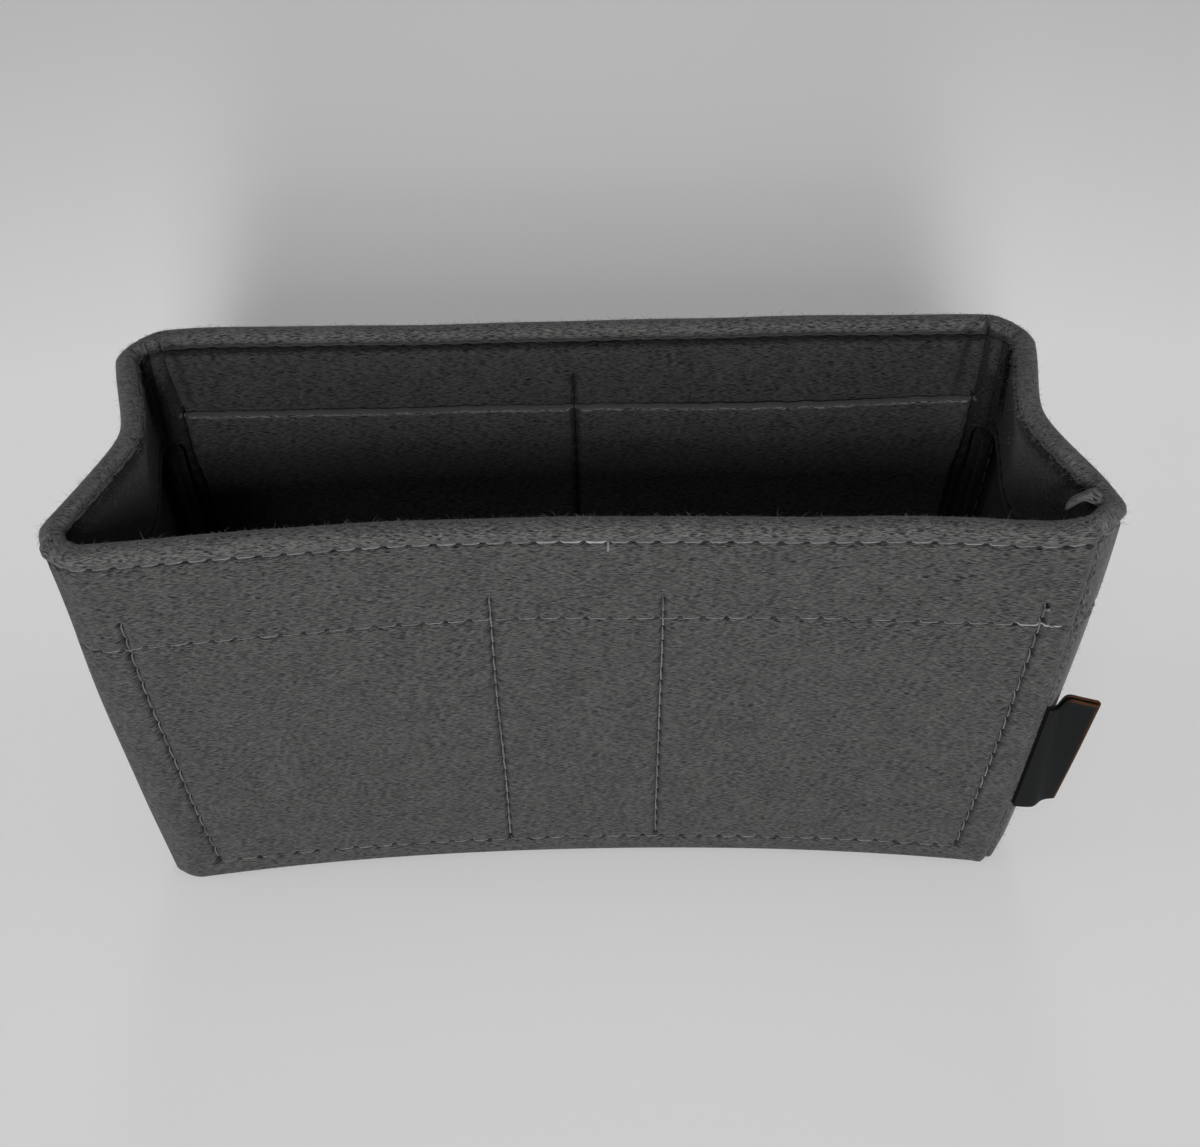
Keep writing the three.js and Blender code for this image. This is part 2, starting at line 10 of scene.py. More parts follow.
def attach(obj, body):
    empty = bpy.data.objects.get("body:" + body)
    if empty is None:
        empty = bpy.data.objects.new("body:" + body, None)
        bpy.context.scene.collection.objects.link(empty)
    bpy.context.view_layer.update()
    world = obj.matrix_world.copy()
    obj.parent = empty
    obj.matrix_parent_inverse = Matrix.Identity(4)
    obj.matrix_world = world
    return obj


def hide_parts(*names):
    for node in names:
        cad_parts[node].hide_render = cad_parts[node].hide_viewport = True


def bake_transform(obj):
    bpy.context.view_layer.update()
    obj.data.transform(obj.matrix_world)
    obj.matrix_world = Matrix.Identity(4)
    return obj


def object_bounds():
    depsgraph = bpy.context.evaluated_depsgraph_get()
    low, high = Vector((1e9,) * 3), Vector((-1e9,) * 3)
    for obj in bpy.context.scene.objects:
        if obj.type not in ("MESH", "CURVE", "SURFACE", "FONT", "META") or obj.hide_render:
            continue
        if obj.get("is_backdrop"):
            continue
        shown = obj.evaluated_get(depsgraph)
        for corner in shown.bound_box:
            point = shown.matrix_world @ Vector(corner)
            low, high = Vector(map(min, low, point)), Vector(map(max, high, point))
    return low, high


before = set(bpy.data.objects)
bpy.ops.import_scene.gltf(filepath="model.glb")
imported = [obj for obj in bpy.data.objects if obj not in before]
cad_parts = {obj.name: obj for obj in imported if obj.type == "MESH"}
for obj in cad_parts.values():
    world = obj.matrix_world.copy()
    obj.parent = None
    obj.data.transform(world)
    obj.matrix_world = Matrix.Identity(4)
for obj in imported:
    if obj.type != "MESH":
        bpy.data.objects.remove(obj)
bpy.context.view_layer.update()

# Sizes in millimetres, the same as in the part's source
MM = 0.001
HEIGHT, DEPTH = 128.4, 76.4
SIDE_SWELL = 1.2
LIFT_FADE = 20
CREASE_Y = 2
FELT, RIM = 2.4, 5.0
RIM_MIDDLE = HEIGHT - RIM / 2  # where the folded rim starts to round
FACING_FOOT = HEIGHT - 33
EDGE_ROUND = 1.8
SEAM_GAP, SEAM_ROUND = 0.15, 1.5
FIN = 4.0
FIN_FOOT, FIN_HEAD = 5.0, 93.6
BOTTOM_GAP = 0.5
BOTTOM_ROW = FELT + BOTTOM_GAP + 1.5  # how far inside the outline the bottom is sewn
CUT_ROUND = 0.3
POCKET_FOOT, POCKET_TOP = 5.2, HEIGHT - 22
POCKET_MARGIN = 1.5
RIM_ROW, HEM_ROW, FOOT_ROW = HEIGHT - 4.4, HEIGHT - 29.3, 7.4
UPRIGHT_FOOT, UPRIGHT_HEAD = FOOT_ROW + 1, POCKET_TOP - 0.6
PITCH = 5.2
PER_STITCH = 8  # columns of points on each stitch
SEAM_PAINTED_SHADE = 0.95  # painted shade on the seam allowances; the pressing_and_painted_light attribute darkens the felt where it is pressed in and where shade is painted, and below 0 it is painted light that lightens it
FACES = (("needle", 1), ("bobbin", -1))  # thread, and the way its face looks: 1 outwards
THREAD, HEM_THREAD = 0.18, 0.14  # radius
TAIL_TOP = POCKET_TOP + 8

ENDS = {
    "front": dict(
        side=-1, radius=10, reach=(114.8, 114.2), bow=(6.8, 5.1), lift=0.8,
        round={"left": 0.03, "right": 0.9},
        turn={"left": math.radians(60), "right": math.radians(22)},
    ),
    "back": dict(
        side=1, radius=10, reach=(110.4, 109.2), bow=(0.9, 0.6), lift=0,
        round={"left": 0.03, "right": 0.03},
        turn={"left": math.radians(45), "right": math.radians(45)},
    ),
}
FLANKS = {"left": dict(side=-1, crease=9), "right": dict(side=1, crease=6.8)}
POCKETS = {
    "front": dict(clear=0.9, taper=2.7, dividers=(-19, 19), mouths=(1.3, 0.6, 1.3)),
    "back": dict(clear=0.6, taper=1.5, dividers=(0,), mouths=(0.8, 2.2)),
}
MAP_AT = {  # where each piece lies on the cloth map, apart so that no two show the same fibres
    "front": 0, "back": 1300, "left": 2600, "right": 3300,
    "front_pocket": 5000, "back_pocket": 6500, "bottom": 8000, "tuck": 9000,
}
rng = np.random.default_rng(7)


# Outline of the box, seen from above, at a height z

def level(pair, z):
    return pair[0] + (pair[1] - pair[0]) * z / HEIGHT


def reach(end, z):
    return level(end["reach"], z) + SIDE_SWELL * np.sin(np.pi * np.clip(z, 0, HEIGHT) / HEIGHT)


def straight(end, z):
    return reach(end, z) - end["radius"]


def smooth(x, low, high):
    t = np.clip((x - low) / (high - low), 0, 1)
    return t * t * (3 - 2 * t)


def stack(x, y, z):
    return np.stack(np.broadcast_arrays(x, y, z), -1).astype(float)


def unit(v):
    return v / np.linalg.norm(v, axis=-1, keepdims=True)


def flat(value):
    """The same value at every place, for a row's line or a depth."""
    return lambda u, z=0: value + 0 * u


def wall_straight(end, x, z, inward):
    bow = 1 - (x / straight(end, z)) ** 2
    face = DEPTH / 2 - level(end["bow"], z) * bow
    lift = end["lift"] * bow * np.clip(1 - z / LIFT_FADE, 0, 1)
    return stack(x, end["side"] * (face - inward), z + lift)


def corner(end, side, turn, z, inward):
    radius = end["radius"] - inward
    x = straight(end, z) + radius * np.sin(turn)
    y = DEPTH / 2 - end["radius"] + radius * np.cos(turn)
    return stack(side * x, end["side"] * y, z)


def seam(end, side, turn, across, z, inward):
    p = corner(end, side, turn, z, inward)
    p[..., 0] -= side * math.cos(turn) * across
    p[..., 1] += end["side"] * math.sin(turn) * across
    return p


# u runs along the cloth: from the middle of a wall, or from a gusset's crease

def wall(end, u, z, inward):
    half = straight(end, z)
    x = np.clip(u, -half, half)
    turn = (np.abs(u) - half) / end["radius"]
    plain = wall_straight(end, x, z, inward)
    bent = corner(end, np.sign(u + 1e-9), np.maximum(turn, 0), z, inward)
    return np.where((turn > 0)[..., None], bent, plain)


def flank(side_name, u, z, inward):
    f = FLANKS[side_name]
    fr, bk = ENDS["front"], ENDS["back"]
    yf, yb = DEPTH / 2 - fr["radius"], DEPTH / 2 - bk["radius"]
    y = np.clip(u + CREASE_Y, -yf, yb)
    line = reach(fr, z) + (reach(bk, z) - reach(fr, z)) * (y + yf) / (yf + yb)
    v = np.where(y < CREASE_Y, (CREASE_Y - y) / (CREASE_Y + yf), (y - CREASE_Y) / (yb - CREASE_Y))
    e = 0.17
    shape = (math.sqrt(1 + e * e) - np.sqrt(v * v + e * e)) / (math.sqrt(1 + e * e) - e)
    fold = f["crease"] * (np.clip(z, 0, None) / HEIGHT) ** 1.4 * shape
    plain = stack(f["side"] * (line - fold - inward), y, z)
    ahead = -yf - (u + CREASE_Y)
    behind = (u + CREASE_Y) - yb
    bent_f = corner(fr, f["side"], np.pi / 2 - np.maximum(ahead, 0) / fr["radius"], z, inward)
    bent_b = corner(bk, f["side"], np.pi / 2 - np.maximum(behind, 0) / bk["radius"], z, inward)
    out = np.where((ahead > 0)[..., None], bent_f, plain)
    return np.where((behind > 0)[..., None], bent_b, out)


# Sag and unevenness of the whole sewn box, the same for everything on it

def waves(p, size, seed):
    """Soft unevenness about one high, a sum of waves of about one size that run in all directions."""
    count = 7
    r = np.random.default_rng(seed)
    total = np.zeros(p.shape[:-1])
    for _ in range(count):
        d = r.normal(size=3)
        d *= 2 * np.pi / (size * r.uniform(0.7, 1.5) * np.linalg.norm(d))
        total += np.sin(p @ d + r.uniform(0, 2 * np.pi))
    return total / math.sqrt(count)


# How the worn box leans off the drawn outline: (middle, spread) along x, y, z and the shift
LEANS = (
    ((-112, 34), (-38, 38), (125, 75), (2.1, 0, 0)),
    ((112, 36), (-38, 38), (88, 62), (1.3, 0, 0.1)),
    ((110, 36), (38, 34), (118, 50), (1.6, 0, 0)),
    ((112, 30), (-38, 38), (8, 22), (0.9, 0, 0)),
    ((0, 75), (-34, 30), (0, 26), (0, -0.9, -0.3)),
    ((0, 95), (38, 26), (128, 26), (0, 0.5, 0.6)),
    ((109, 7), (-34, 9), (127, 13), (0, 1.8, 0.8)),
    ((114, 14), (-19, 11), (127, 22), (1.6, 0, 0)),
    ((111, 11), (38, 12), (128, 30), (-1.9, -1.3, 0)),
    ((-109, 11), (38, 12), (128, 30), (1.5, -1.1, 0)),
)


UNEVEN = ((0, 0.22, 55, 11), (1, 0.28, 60, 12), (2, 0.18, 45, 13))  # axis, shift, wavelength, seed


def sway(p):
    q = p.copy()
    grip = smooth(p[..., 2], 1, 25)
    for axis, most, size, seed in UNEVEN:
        q[..., axis] += most * grip * waves(p, size, seed)
    for *spots, shift in LEANS:
        off = sum(((p[..., k] - middle) / spread) ** 2 for k, (middle, spread) in enumerate(spots))
        q += np.exp(-off)[..., None] * np.array(shift)
    return q


# Rows of stitches: where the felt is drawn in, and where the threads lie

def hem_wander(x):
    return np.interp(x, [-112, -85, -55, 0, 60, 112], [-1.7, -1.2, 0, 0.3, 0.3, 0.3])


class Row:
    """A row on one face. way 'u' runs along the cloth at height(u), way 'z' runs up at place(z)."""

    def __init__(self, way, start, end, line, groove=0.6, width=0.9, hole=0.8):
        self.way, self.start, self.end, self.line = way, start, end, line
        self.groove, self.width, self.hole = groove, width, hole
        self.ends = np.linspace(start, end, max(1, round((end - start) / PITCH)) + 1)

    def dent(self, u, z):
        along, across = (u, z) if self.way == "u" else (z, u)
        off = across - self.line(along)
        step = (self.end - self.start) / (len(self.ends) - 1)
        inside = smooth(along, self.start - 1.5, self.start) * (
            1 - smooth(along, self.end, self.end + 1.5)
        )
        place = (along - self.start) / step
        nearest = np.abs(place - np.round(place)) * step
        groove = self.groove * np.exp(-((off / self.width) ** 2)) * (1 + 0.2 * np.cos(2 * np.pi * place))
        hole = self.hole * np.exp(-((off / 0.6) ** 2) - (nearest / 0.8) ** 2)
        return inside * (groove + hole)


class Crease:
    """A fold line pressed into one face: from (u, z) at its foot to (u, z) at its head."""

    def __init__(self, foot, head, deep, width):
        self.foot, self.head, self.deep, self.width = foot, head, deep, width

    def dent(self, u, z):
        share = (z - self.foot[1]) / (self.head[1] - self.foot[1])
        middle = self.foot[0] + (self.head[0] - self.foot[0]) * share
        middle = middle + 0.4 * np.sin(share * 5 + self.foot[0])
        fade = smooth(share, -0.15, 0.25) * (1 - smooth(share, 1.0, 1.15))
        return self.deep * fade * np.exp(-(((u - middle) / self.width) ** 2))


def dents(rows, u, z):
    total = np.zeros(np.broadcast(u, z).shape)
    for row in rows:
        total = np.maximum(total, row.dent(u, z))
    return total


# Meshes

def add_object(name, data):
    obj = bpy.data.objects.new(name, data)
    bpy.context.scene.collection.objects.link(obj)
    return obj


def new_mesh(name, verts, faces, material, coords=None, flat_from=None, pressing_and_painted_light=None):
    """coords: the map in metres; faces from flat_from on are shaded flat; pressing_and_painted_light: at
    each point, how much pressing and painted shade darken the felt, or painted light lightens it below 0.
    """
    mesh = bpy.data.meshes.new(name)
    mesh.from_pydata((np.asarray(verts) * MM).tolist(), [], faces)
    if coords is not None:
        layer = mesh.uv_layers.new(name="cloth")
        layer.data.foreach_set("uv", np.asarray(coords, np.float32).ravel())
    rounded = np.ones(len(faces), bool)
    if flat_from is not None:
        rounded[flat_from:] = False
    mesh.polygons.foreach_set("use_smooth", rounded)
    if pressing_and_painted_light is not None:
        layer = mesh.attributes.new("pressing_and_painted_light", "FLOAT", "POINT")
        layer.data.foreach_set("value", np.asarray(pressing_and_painted_light, np.float32).ravel())
    mesh.materials.append(material)
    mesh.update()
    return add_object(name, mesh)


def skin(count, size):
    """Faces between neighbouring rings of points, count rings of size points each."""
    k, i = (grid.ravel() for grid in np.meshgrid(np.arange(count - 1), np.arange(size), indexing="ij"))
    j = (i + 1) % size
    return np.stack([k * size + i, k * size + j, (k + 1) * size + j, (k + 1) * size + i], 1)


def loft(name, rings, coord_u, coord_v, material, pressing_and_painted_light=None):
    """A closed skin over rings of points; a ring's first half is its outer line, the rest its inner one."""
    count, size = rings.shape[:2]
    coords = np.stack([np.asarray(coord_u, float), np.asarray(coord_v, float)], -1).reshape(-1, 2)
    sides = skin(count, size)
    i = np.arange(size // 2 - 1)
    far = size - 1 - i
    cap = np.stack([i, i + 1, far - 1, far], 1)
    faces = np.concatenate([sides, cap[:, ::-1], cap + (count - 1) * size])
    corners = rings.reshape(-1, 3)
    volume = 0.0
    for tri in (faces[:, :3], faces[:, [0, 2, 3]]):
        a, b, c = (corners[tri[:, m]] for m in range(3))
        volume += float((a * np.cross(b, c)).sum())
    if volume < 0:
        faces = faces[:, ::-1]
    return new_mesh(name, corners, faces.tolist(), material, coords[faces.ravel()] * MM, len(sides), pressing_and_painted_light)


# How a piece moves and which node it stands in for


def rides(body):
    return lambda obj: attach(obj, body)


def blends():
    """A half gusset keeps its place: its placing is baked into its mesh."""
    return lambda obj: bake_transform(obj)


def give(obj, mover, node_name=None):
    mover(obj)
    if node_name:
        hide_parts(node_name)


# Felt panels: a ring of points at each height, dented where the rows draw the felt in

def spaced(heights, z, room, steps):
    """The heights that keep clear of z, and closer ones beside it."""
    return [h for h in heights if abs(h - z) > room] + [z + d for d in steps]


def panel_levels():
    """(height, thickness, cut outside, cut inside, seam allowance) from the lower edge to the rim."""
    rows = []
    for turn in np.radians([90, 65, 45, 25, 0]):
        cut = EDGE_ROUND * (1 - math.cos(turn))
        rows.append((EDGE_ROUND * (1 - math.sin(turn)), FELT, cut, cut * 0.3, 0))
    step = (UPRIGHT_HEAD - UPRIGHT_FOOT) / round((UPRIGHT_HEAD - UPRIGHT_FOOT) / PITCH) / 6
    heights = list(UPRIGHT_FOOT + step * np.arange(-6, round((RIM_MIDDLE - UPRIGHT_FOOT) / step)))
    for z in (FOOT_ROW, HEM_ROW, RIM_ROW):
        steps = (-2.0, -1.4, -1.0, -0.7, -0.4, -0.2, 0, 0.2, 0.4, 0.7, 1.0, 1.5)
        heights = spaced(heights, z, 2.3, steps)
    for z in (FIN_FOOT, FIN_HEAD):
        heights = spaced(heights, z, 0.8, (-0.6, -0.3, 0, 0.3, 0.6))
    heights = spaced(heights, FACING_FOOT, 1.1, (-0.5, 0, 0.1, 0.5, 1.2))
    for z in sorted(heights):
        if z > RIM_MIDDLE - 0.15:
            continue
        over = np.clip((z - FACING_FOOT) / 0.7, 0, 1)
        thick = FELT + (RIM - FELT) * math.sqrt(1 - (1 - over) ** 2)
        fin = FIN * math.sqrt(max(0, 1 - max(FIN_FOOT + 0.3 - z, z - FIN_HEAD + 0.3, 0) ** 2 / 0.81))
        rows.append((z, thick, 0, 0, fin if FIN_FOOT - 0.6 < z < FIN_HEAD + 0.6 else 0))
    for turn in np.radians(np.linspace(0, 88, 12)):
        cut = RIM / 2 * (1 - math.cos(turn))
        rows.append((RIM_MIDDLE + RIM / 2 * math.sin(turn), RIM, cut, cut, 0))
    return rows


def rim_swell(z, u, fullness, face):
    """The folded rim stands fuller than the drawn thickness above its row of stitches."""
    return 0.5 * fullness(u, face) * math.exp(-(((z - (HEIGHT - 1.9)) / 1.7) ** 2))


def rim_painted_light(z, face):
    """Painted highlight on the top of the folded rim; inside, painted shade darkens the rim above its row.
    """
    if face == "outer":
        return 0.45 * float(smooth(z, HEIGHT - 4.5, HEIGHT - 1.5))
    under = float(smooth(z, RIM_ROW - 0.8, RIM_ROW + 0.6) * (1 - smooth(z, HEIGHT - 3.6, HEIGHT - 1.4)))
    return 0.45 * float(smooth(z, HEIGHT - 2.6, HEIGHT - 0.6)) - 0.35 * under


def seam_end(end, side, turn, way, z, thick, cut_out, cut_in, fin, proud_out, proud_in):
    """Points of a panel's edge at a seam: its rounded shoulder outside, its allowance inside."""
    body = thick - cut_out - cut_in
    closed = float(smooth(z, FACING_FOOT + 6, HEIGHT - 10))
    rim_round = end["round"]["left" if side < 0 else "right"]
    gap = SEAM_GAP + (min(rim_round, SEAM_GAP) - SEAM_GAP) * closed
    size = min(SEAM_ROUND + (rim_round - SEAM_ROUND) * closed, body / 2)
    deep = thick - cut_in + proud_in
    outer, inner = [], []
    for a in np.radians([0, 22, 45, 67]):
        across = gap + size * (1 - math.cos(a))
        outer.append(seam(end, side, turn, way * across, z, cut_out + size * (1 - math.sin(a)) - proud_out))
    tip = deep + fin
    nib = min(0.7, fin / 2)
    width = FELT if fin > 0 else FELT * 0.5
    for across, inward in (
        (0, tip - nib), (nib * 0.6, tip), (width - nib * 0.6, tip), (width, tip - nib),
    ):
        inner.append(seam(end, side, turn, way * (gap + across), z, max(inward, deep)))
    shoulder = turn - way * (size + gap) / end["radius"]
    foot = turn - way * (SEAM_GAP + FELT) / (end["radius"] - FELT)
    return outer, inner, shoulder, foot


BESIDE = np.array([-1.6, -1.1, -0.75, -0.45, -0.2, 0, 0.2, 0.45, 0.75, 1.1, 1.6])


def columns(row, low, high, uprights):
    """Places along the cloth: even steps on each stitch, closer ones beside an upright row."""
    step = (row.end - row.start) / (len(row.ends) - 1) / PER_STITCH
    u = row.start + step * np.arange(len(row.ends) * PER_STITCH - PER_STITCH + 1)
    u = u[(u > low + step / 2) & (u < high - step / 2)]
    for upright in uprights:
        middle = float(upright.line(HEIGHT / 2))
        u = np.concatenate([u[np.abs(u - middle) > 2.0], middle + BESIDE])
    return np.sort(np.concatenate([[low], u, [high]]))


def fitted(u, span, uprights, z):
    """Columns moved so that they end where the cloth ends at height z and follow the upright rows."""
    way = 1 if u[-1] > u[0] else -1
    v, low, high = u * way, span[0] * way, span[1] * way
    near = min(8.0, (v[-1] - v[0]) / 3)
    kept = [v[0] + near, v[-1] - near]
    out = way * np.interp(v, [v[0], *kept, v[-1]], [low, *kept, high])
    for upright in uprights:
        middle = float(upright.line(HEIGHT / 2))
        lean = float(upright.line(min(max(z, upright.start), upright.end))) - middle
        out += lean * np.exp(-(((u - middle) / 8) ** 2))
    return out


def felt_panel(
    name, material, surface, terminals, base_u, rows_out, rows_in, shift, beads=(),
    fullness=lambda u, face: 1 + 0 * u, turned=False, outside=0.0, inside=0.0, corner_shade=lambda u, z: 0 * u,
):
    """terminals: the cloth's two ends, each a number (a plain cut) or (end, side, turn, way, to_u).

    turned lays the cloth's grain upright; outside is painted light on its outer face (lighter below 0), and
    inside and corner_shade are painted shade on its inner face.
    """
    rings, us, vs, pressing_and_painted_lights = [], [], [], []
    uprights = [row for row in rows_out if isinstance(row, Row) and row.way == "z"]
    for z, thick, cut_out, cut_in, fin in panel_levels():
        deep = thick - cut_in
        reached, tips = [], []  # for each end: where its outer and inner line stop, and the points beyond
        for t in terminals:
            places, points = (t, t), ([], [])
            if not isinstance(t, (int, float)):
                end, side, turn, way, to_u = t
                edge_u = base_u[0] if t is terminals[0] else base_u[-1]
                proud = [float(rim_swell(z, edge_u, fullness, face)) for face in ("outer", "inner")]
                *points, shoulder, foot = seam_end(
                    end, side, turn, way, z, thick, cut_out, cut_in, fin, *proud,
                )
                places = float(to_u(shoulder, z)), float(to_u(foot, z))
            reached.append(places)
            tips.append(points)
        lines, ring_u, ring_pressing_and_painted_light = [], [], []
        for n, (face, rows, inward) in enumerate(
            (("outer", rows_out, cut_out), ("inner", rows_in, deep))
        ):
            u = fitted(base_u, (reached[0][n], reached[1][n]), uprights, z)
            zz = np.full_like(u, z)
            way = 1 if n == 0 else -1
            proud = rim_swell(z, u, fullness, face)
            proud = proud + sum(h * np.exp(-(((u - m) / w) ** 2)) for m, w, h in beads) * (n == 0)
            sunk = dents(rows, u, zz)
            main = surface(u, zz, inward + way * (sunk - proud))
            first, last = tips[0][n], tips[1][n]
            lines.append([*first, *main, *reversed(last)])
            edge = np.arange(len(first), 0, -1) * 0.6
            tail = np.arange(1, len(last) + 1) * 0.6
            heading = 1 if u[-1] > u[0] else -1
            ring_u.append(np.concatenate([u[0] - heading * edge, u, u[-1] + heading * tail]))
            # Painted shade in the stitch grooves and creases, where the felt is also pressed in; outside
            # adds painted light to the outer face, inside and corner_shade add painted shade to the inner
            # face, and the seam allowances get painted shade
            dim = np.clip((sunk - 0.2) / 1.1, 0, 1)
            if face == "outer":
                dim, seam_light_and_shade = dim + outside, outside
            else:
                shade = inside * (1 - float(smooth(z, HEIGHT - 3, HEIGHT - 0.5)))
                dim = dim + np.maximum(shade, corner_shade(u, z))
                seam_light_and_shade = SEAM_PAINTED_SHADE if fin > 0 else max(shade, 0.9 * (1 - float(smooth(z, 110, 124))))
            dim = np.concatenate([np.full(len(first), seam_light_and_shade), dim, np.full(len(last), seam_light_and_shade)])
            ring_pressing_and_painted_light.append(np.minimum(dim, 1) - rim_painted_light(z, face))
        pressing_and_painted_lights.append(np.concatenate([ring_pressing_and_painted_light[0], ring_pressing_and_painted_light[1][::-1]]))
        rings.append(lines[0] + lines[1][::-1])
        us.append(np.concatenate([ring_u[0], ring_u[1][::-1]]) + shift)
        rise = min(max(0, z - RIM_MIDDLE) / (RIM / 2), 1)
        v = z + (math.asin(rise) - rise) * RIM / 2
        top = HEIGHT + (math.pi / 2 - 1) * RIM / 2
        vs.append(np.concatenate([np.full(len(ring_u[0]), v), np.full(len(ring_u[1]), 2 * top - v)]))
    coords = (vs, us) if turned else (us, vs)
    return loft(name, sway(np.array(rings, float)), *coords, material, pressing_and_painted_lights)


# Procedural materials

def node(tree, kind, **values):
    """A value sets an input or a property, and a socket is linked; _ in a name stands for a space."""
    n = tree.nodes.new(kind)
    for key, value in values.items():
        socket = key.replace("_", " ")
        if socket not in n.inputs:
            setattr(n, key, value)
        elif isinstance(value, bpy.types.NodeSocket):
            tree.links.new(value, n.inputs[socket])
        else:
            n.inputs[socket].default_value = value
    return n


def math_node(tree, operation, *values, kind="ShaderNodeMath"):
    n = node(tree, kind, operation=operation)
    for k, value in enumerate(values):
        if isinstance(value, bpy.types.NodeSocket):
            tree.links.new(value, n.inputs[k])
        else:
            n.inputs[k].default_value = value
    return n.outputs[0]


def noise(tree, place, scale, detail, **values):
    return node(tree, "ShaderNodeTexNoise", Vector=place, Scale=scale, Detail=detail, **values).outputs


def start_material(name, roughness, **values):
    material = bpy.data.materials.new(name)
    material.use_nodes = True
    tree = material.node_tree
    shader = tree.nodes["Principled BSDF"]
    for key, value in dict(Roughness=roughness, **values).items():
        shader.inputs[key.replace("_", " ")].default_value = value
    return material, tree, shader


def ramp(tree, share, dark, light, low=0.0, high=1.0):
    n = node(tree, "ShaderNodeValToRGB", Fac=share)
    for stop, position, colour in zip(n.color_ramp.elements, (low, high), (dark, light)):
        stop.position, stop.color = position, (*colour, 1)
    return n.outputs["Color"]


def finish_material(tree, shader, colour, height, strength, distance):
    tree.links.new(colour, shader.inputs["Base Color"])
    raised = node(tree, "ShaderNodeBump", Strength=strength, Distance=distance * MM, Height=height)
    tree.links.new(raised.outputs["Normal"], shader.inputs["Normal"])


def cloth_map(tree):
    return node(tree, "ShaderNodeUVMap", uv_map="cloth").outputs["UV"]


def fibres(tree, place, turn, long, thin, wobble, detail=2.0):
    """Streaks that look like lying fibres, long by thin millimetres, turned by degrees."""
    bend = noise(tree, place, 1 / (wobble * MM), 1.0)["Color"]
    sway_by = (0.8 * MM, 0.8 * MM, 0)
    shifted = math_node(tree, "MULTIPLY_ADD", bend, sway_by, place, kind="ShaderNodeVectorMath")
    mapped = node(
        tree, "ShaderNodeMapping", Vector=shifted, Rotation=(0, 0, math.radians(turn)),
        Scale=(1 / (long * MM), 1 / (thin * MM), 1),
    )
    return noise(tree, mapped.outputs[0], 1.0, detail, Roughness=0.6)["Fac"]


def ridges(tree, source):
    """Thin bright lines where a noise passes its middle, as single fibres lie on felt."""
    off = math_node(tree, "ABSOLUTE", math_node(tree, "SUBTRACT", source, 0.5))
    return math_node(tree, "SUBTRACT", 1.0, math_node(tree, "MULTIPLY", off, 5.5))


def felt_material(name, dark, light):
    material, tree, shader = start_material(
        name, 0.95, Specular_IOR_Level=0.1, Sheen_Weight=0.13, Sheen_Roughness=0.5,
        Sheen_Tint=(0.55, 0.55, 0.56, 1),
    )
    place = cloth_map(tree)
    layers = (
        (fibres(tree, place, 0, 1.9, 0.13, 2.8), 0.36),
        (fibres(tree, place, 12, 1.5, 0.12, 2.4), 0.27),
        (fibres(tree, place, -14, 1.5, 0.12, 2.5), 0.25),
        (ridges(tree, fibres(tree, place, 4, 2.4, 0.55, 2.5, 0.0)), 0.04),
        (ridges(tree, fibres(tree, place, -24, 1.8, 0.6, 2.0, 0.0)), 0.03),
        (noise(tree, place, 1 / (9 * MM), 2.0)["Fac"], 0.04),
    )
    mixed = 0.0
    for source, share in layers:
        mixed = math_node(tree, "ADD", math_node(tree, "MULTIPLY", source, share), mixed)
    # Painted shade and painted light: the attribute darkens the felt in pressed grooves and where shade is
    # painted, and lightens it below 0 where light is painted
    pressed_and_painted = node(tree, "ShaderNodeAttribute", attribute_name="pressing_and_painted_light").outputs["Fac"]
    kept = math_node(tree, "SUBTRACT", 1.0, math_node(tree, "MULTIPLY", pressed_and_painted, 0.8))
    dimmed = node(tree, "ShaderNodeVectorMath", operation="SCALE", Scale=kept)
    tree.links.new(ramp(tree, mixed, dark, light, 0.425, 0.56), dimmed.inputs[0])
    finish_material(tree, shader, dimmed.outputs[0], mixed, 0.12, 0.45)
    return material


def thread_material(name, dark, light, sheen=0.2):
    material, tree, shader = start_material(name, 0.55, Sheen_Weight=sheen, Specular_IOR_Level=sheen)
    place = node(tree, "ShaderNodeTexCoord").outputs["Object"]
    slow = noise(tree, place, 1 / (6 * MM), 1.0)["Fac"]
    fine = noise(tree, place, 1 / (0.15 * MM), 2.0)["Fac"]
    mixed = math_node(tree, "MULTIPLY", math_node(tree, "ADD", slow, fine), 0.5)
    finish_material(tree, shader, ramp(tree, mixed, dark, light, 0.38, 0.62), fine, 0.3, 0.08)
    return material


def ribbon_material(name):
    """Black woven ribbon; the map's u runs from the sewn edge to the fold, v runs up, both in metres."""
    material, tree, shader = start_material(name, 0.6, Specular_IOR_Level=0.06)
    place = cloth_map(tree)
    mapped = node(tree, "ShaderNodeMapping", Vector=place, Scale=(1 / (0.28 * MM), 1 / (0.2 * MM), 1))
    weave = node(
        tree, "ShaderNodeTexBrick", Vector=mapped.outputs[0], Scale=1.0, Mortar_Size=0.12, Brick_Width=1.0,
        Row_Height=1.0,
    )
    split = node(tree, "ShaderNodeSeparateXYZ", Vector=place).outputs

    def edge(axis, start, end):
        return node(
            tree, "ShaderNodeMapRange", interpolation_type="SMOOTHSTEP", Value=split[axis],
            From_Min=start * MM, From_Max=end * MM,
        ).outputs[0]

    brim = math_node(tree, "MULTIPLY", edge("Y", 68.6, 69.6), edge("X", 5, 8))
    warm = math_node(tree, "MAXIMUM", edge("X", 11.9, 13.2), brim)
    uneven = math_node(tree, "ADD", noise(tree, place, 1 / (1.5 * MM), 3.0)["Fac"], 0.3)
    share = math_node(tree, "MULTIPLY", warm, uneven)
    colour = ramp(tree, share, (0.0056, 0.0060, 0.0064), (0.055, 0.022, 0.007))
    finish_material(tree, shader, colour, weave.outputs["Fac"], 0.35, 0.06)
    return material


def grey(level):
    return (level, level, level)


felt_grey = felt_material("felt_grey", grey(0.005), (0.073, 0.0726, 0.0712))
pocket_grey = felt_material("pocket_grey", grey(0.005), (0.073, 0.073, 0.0726))
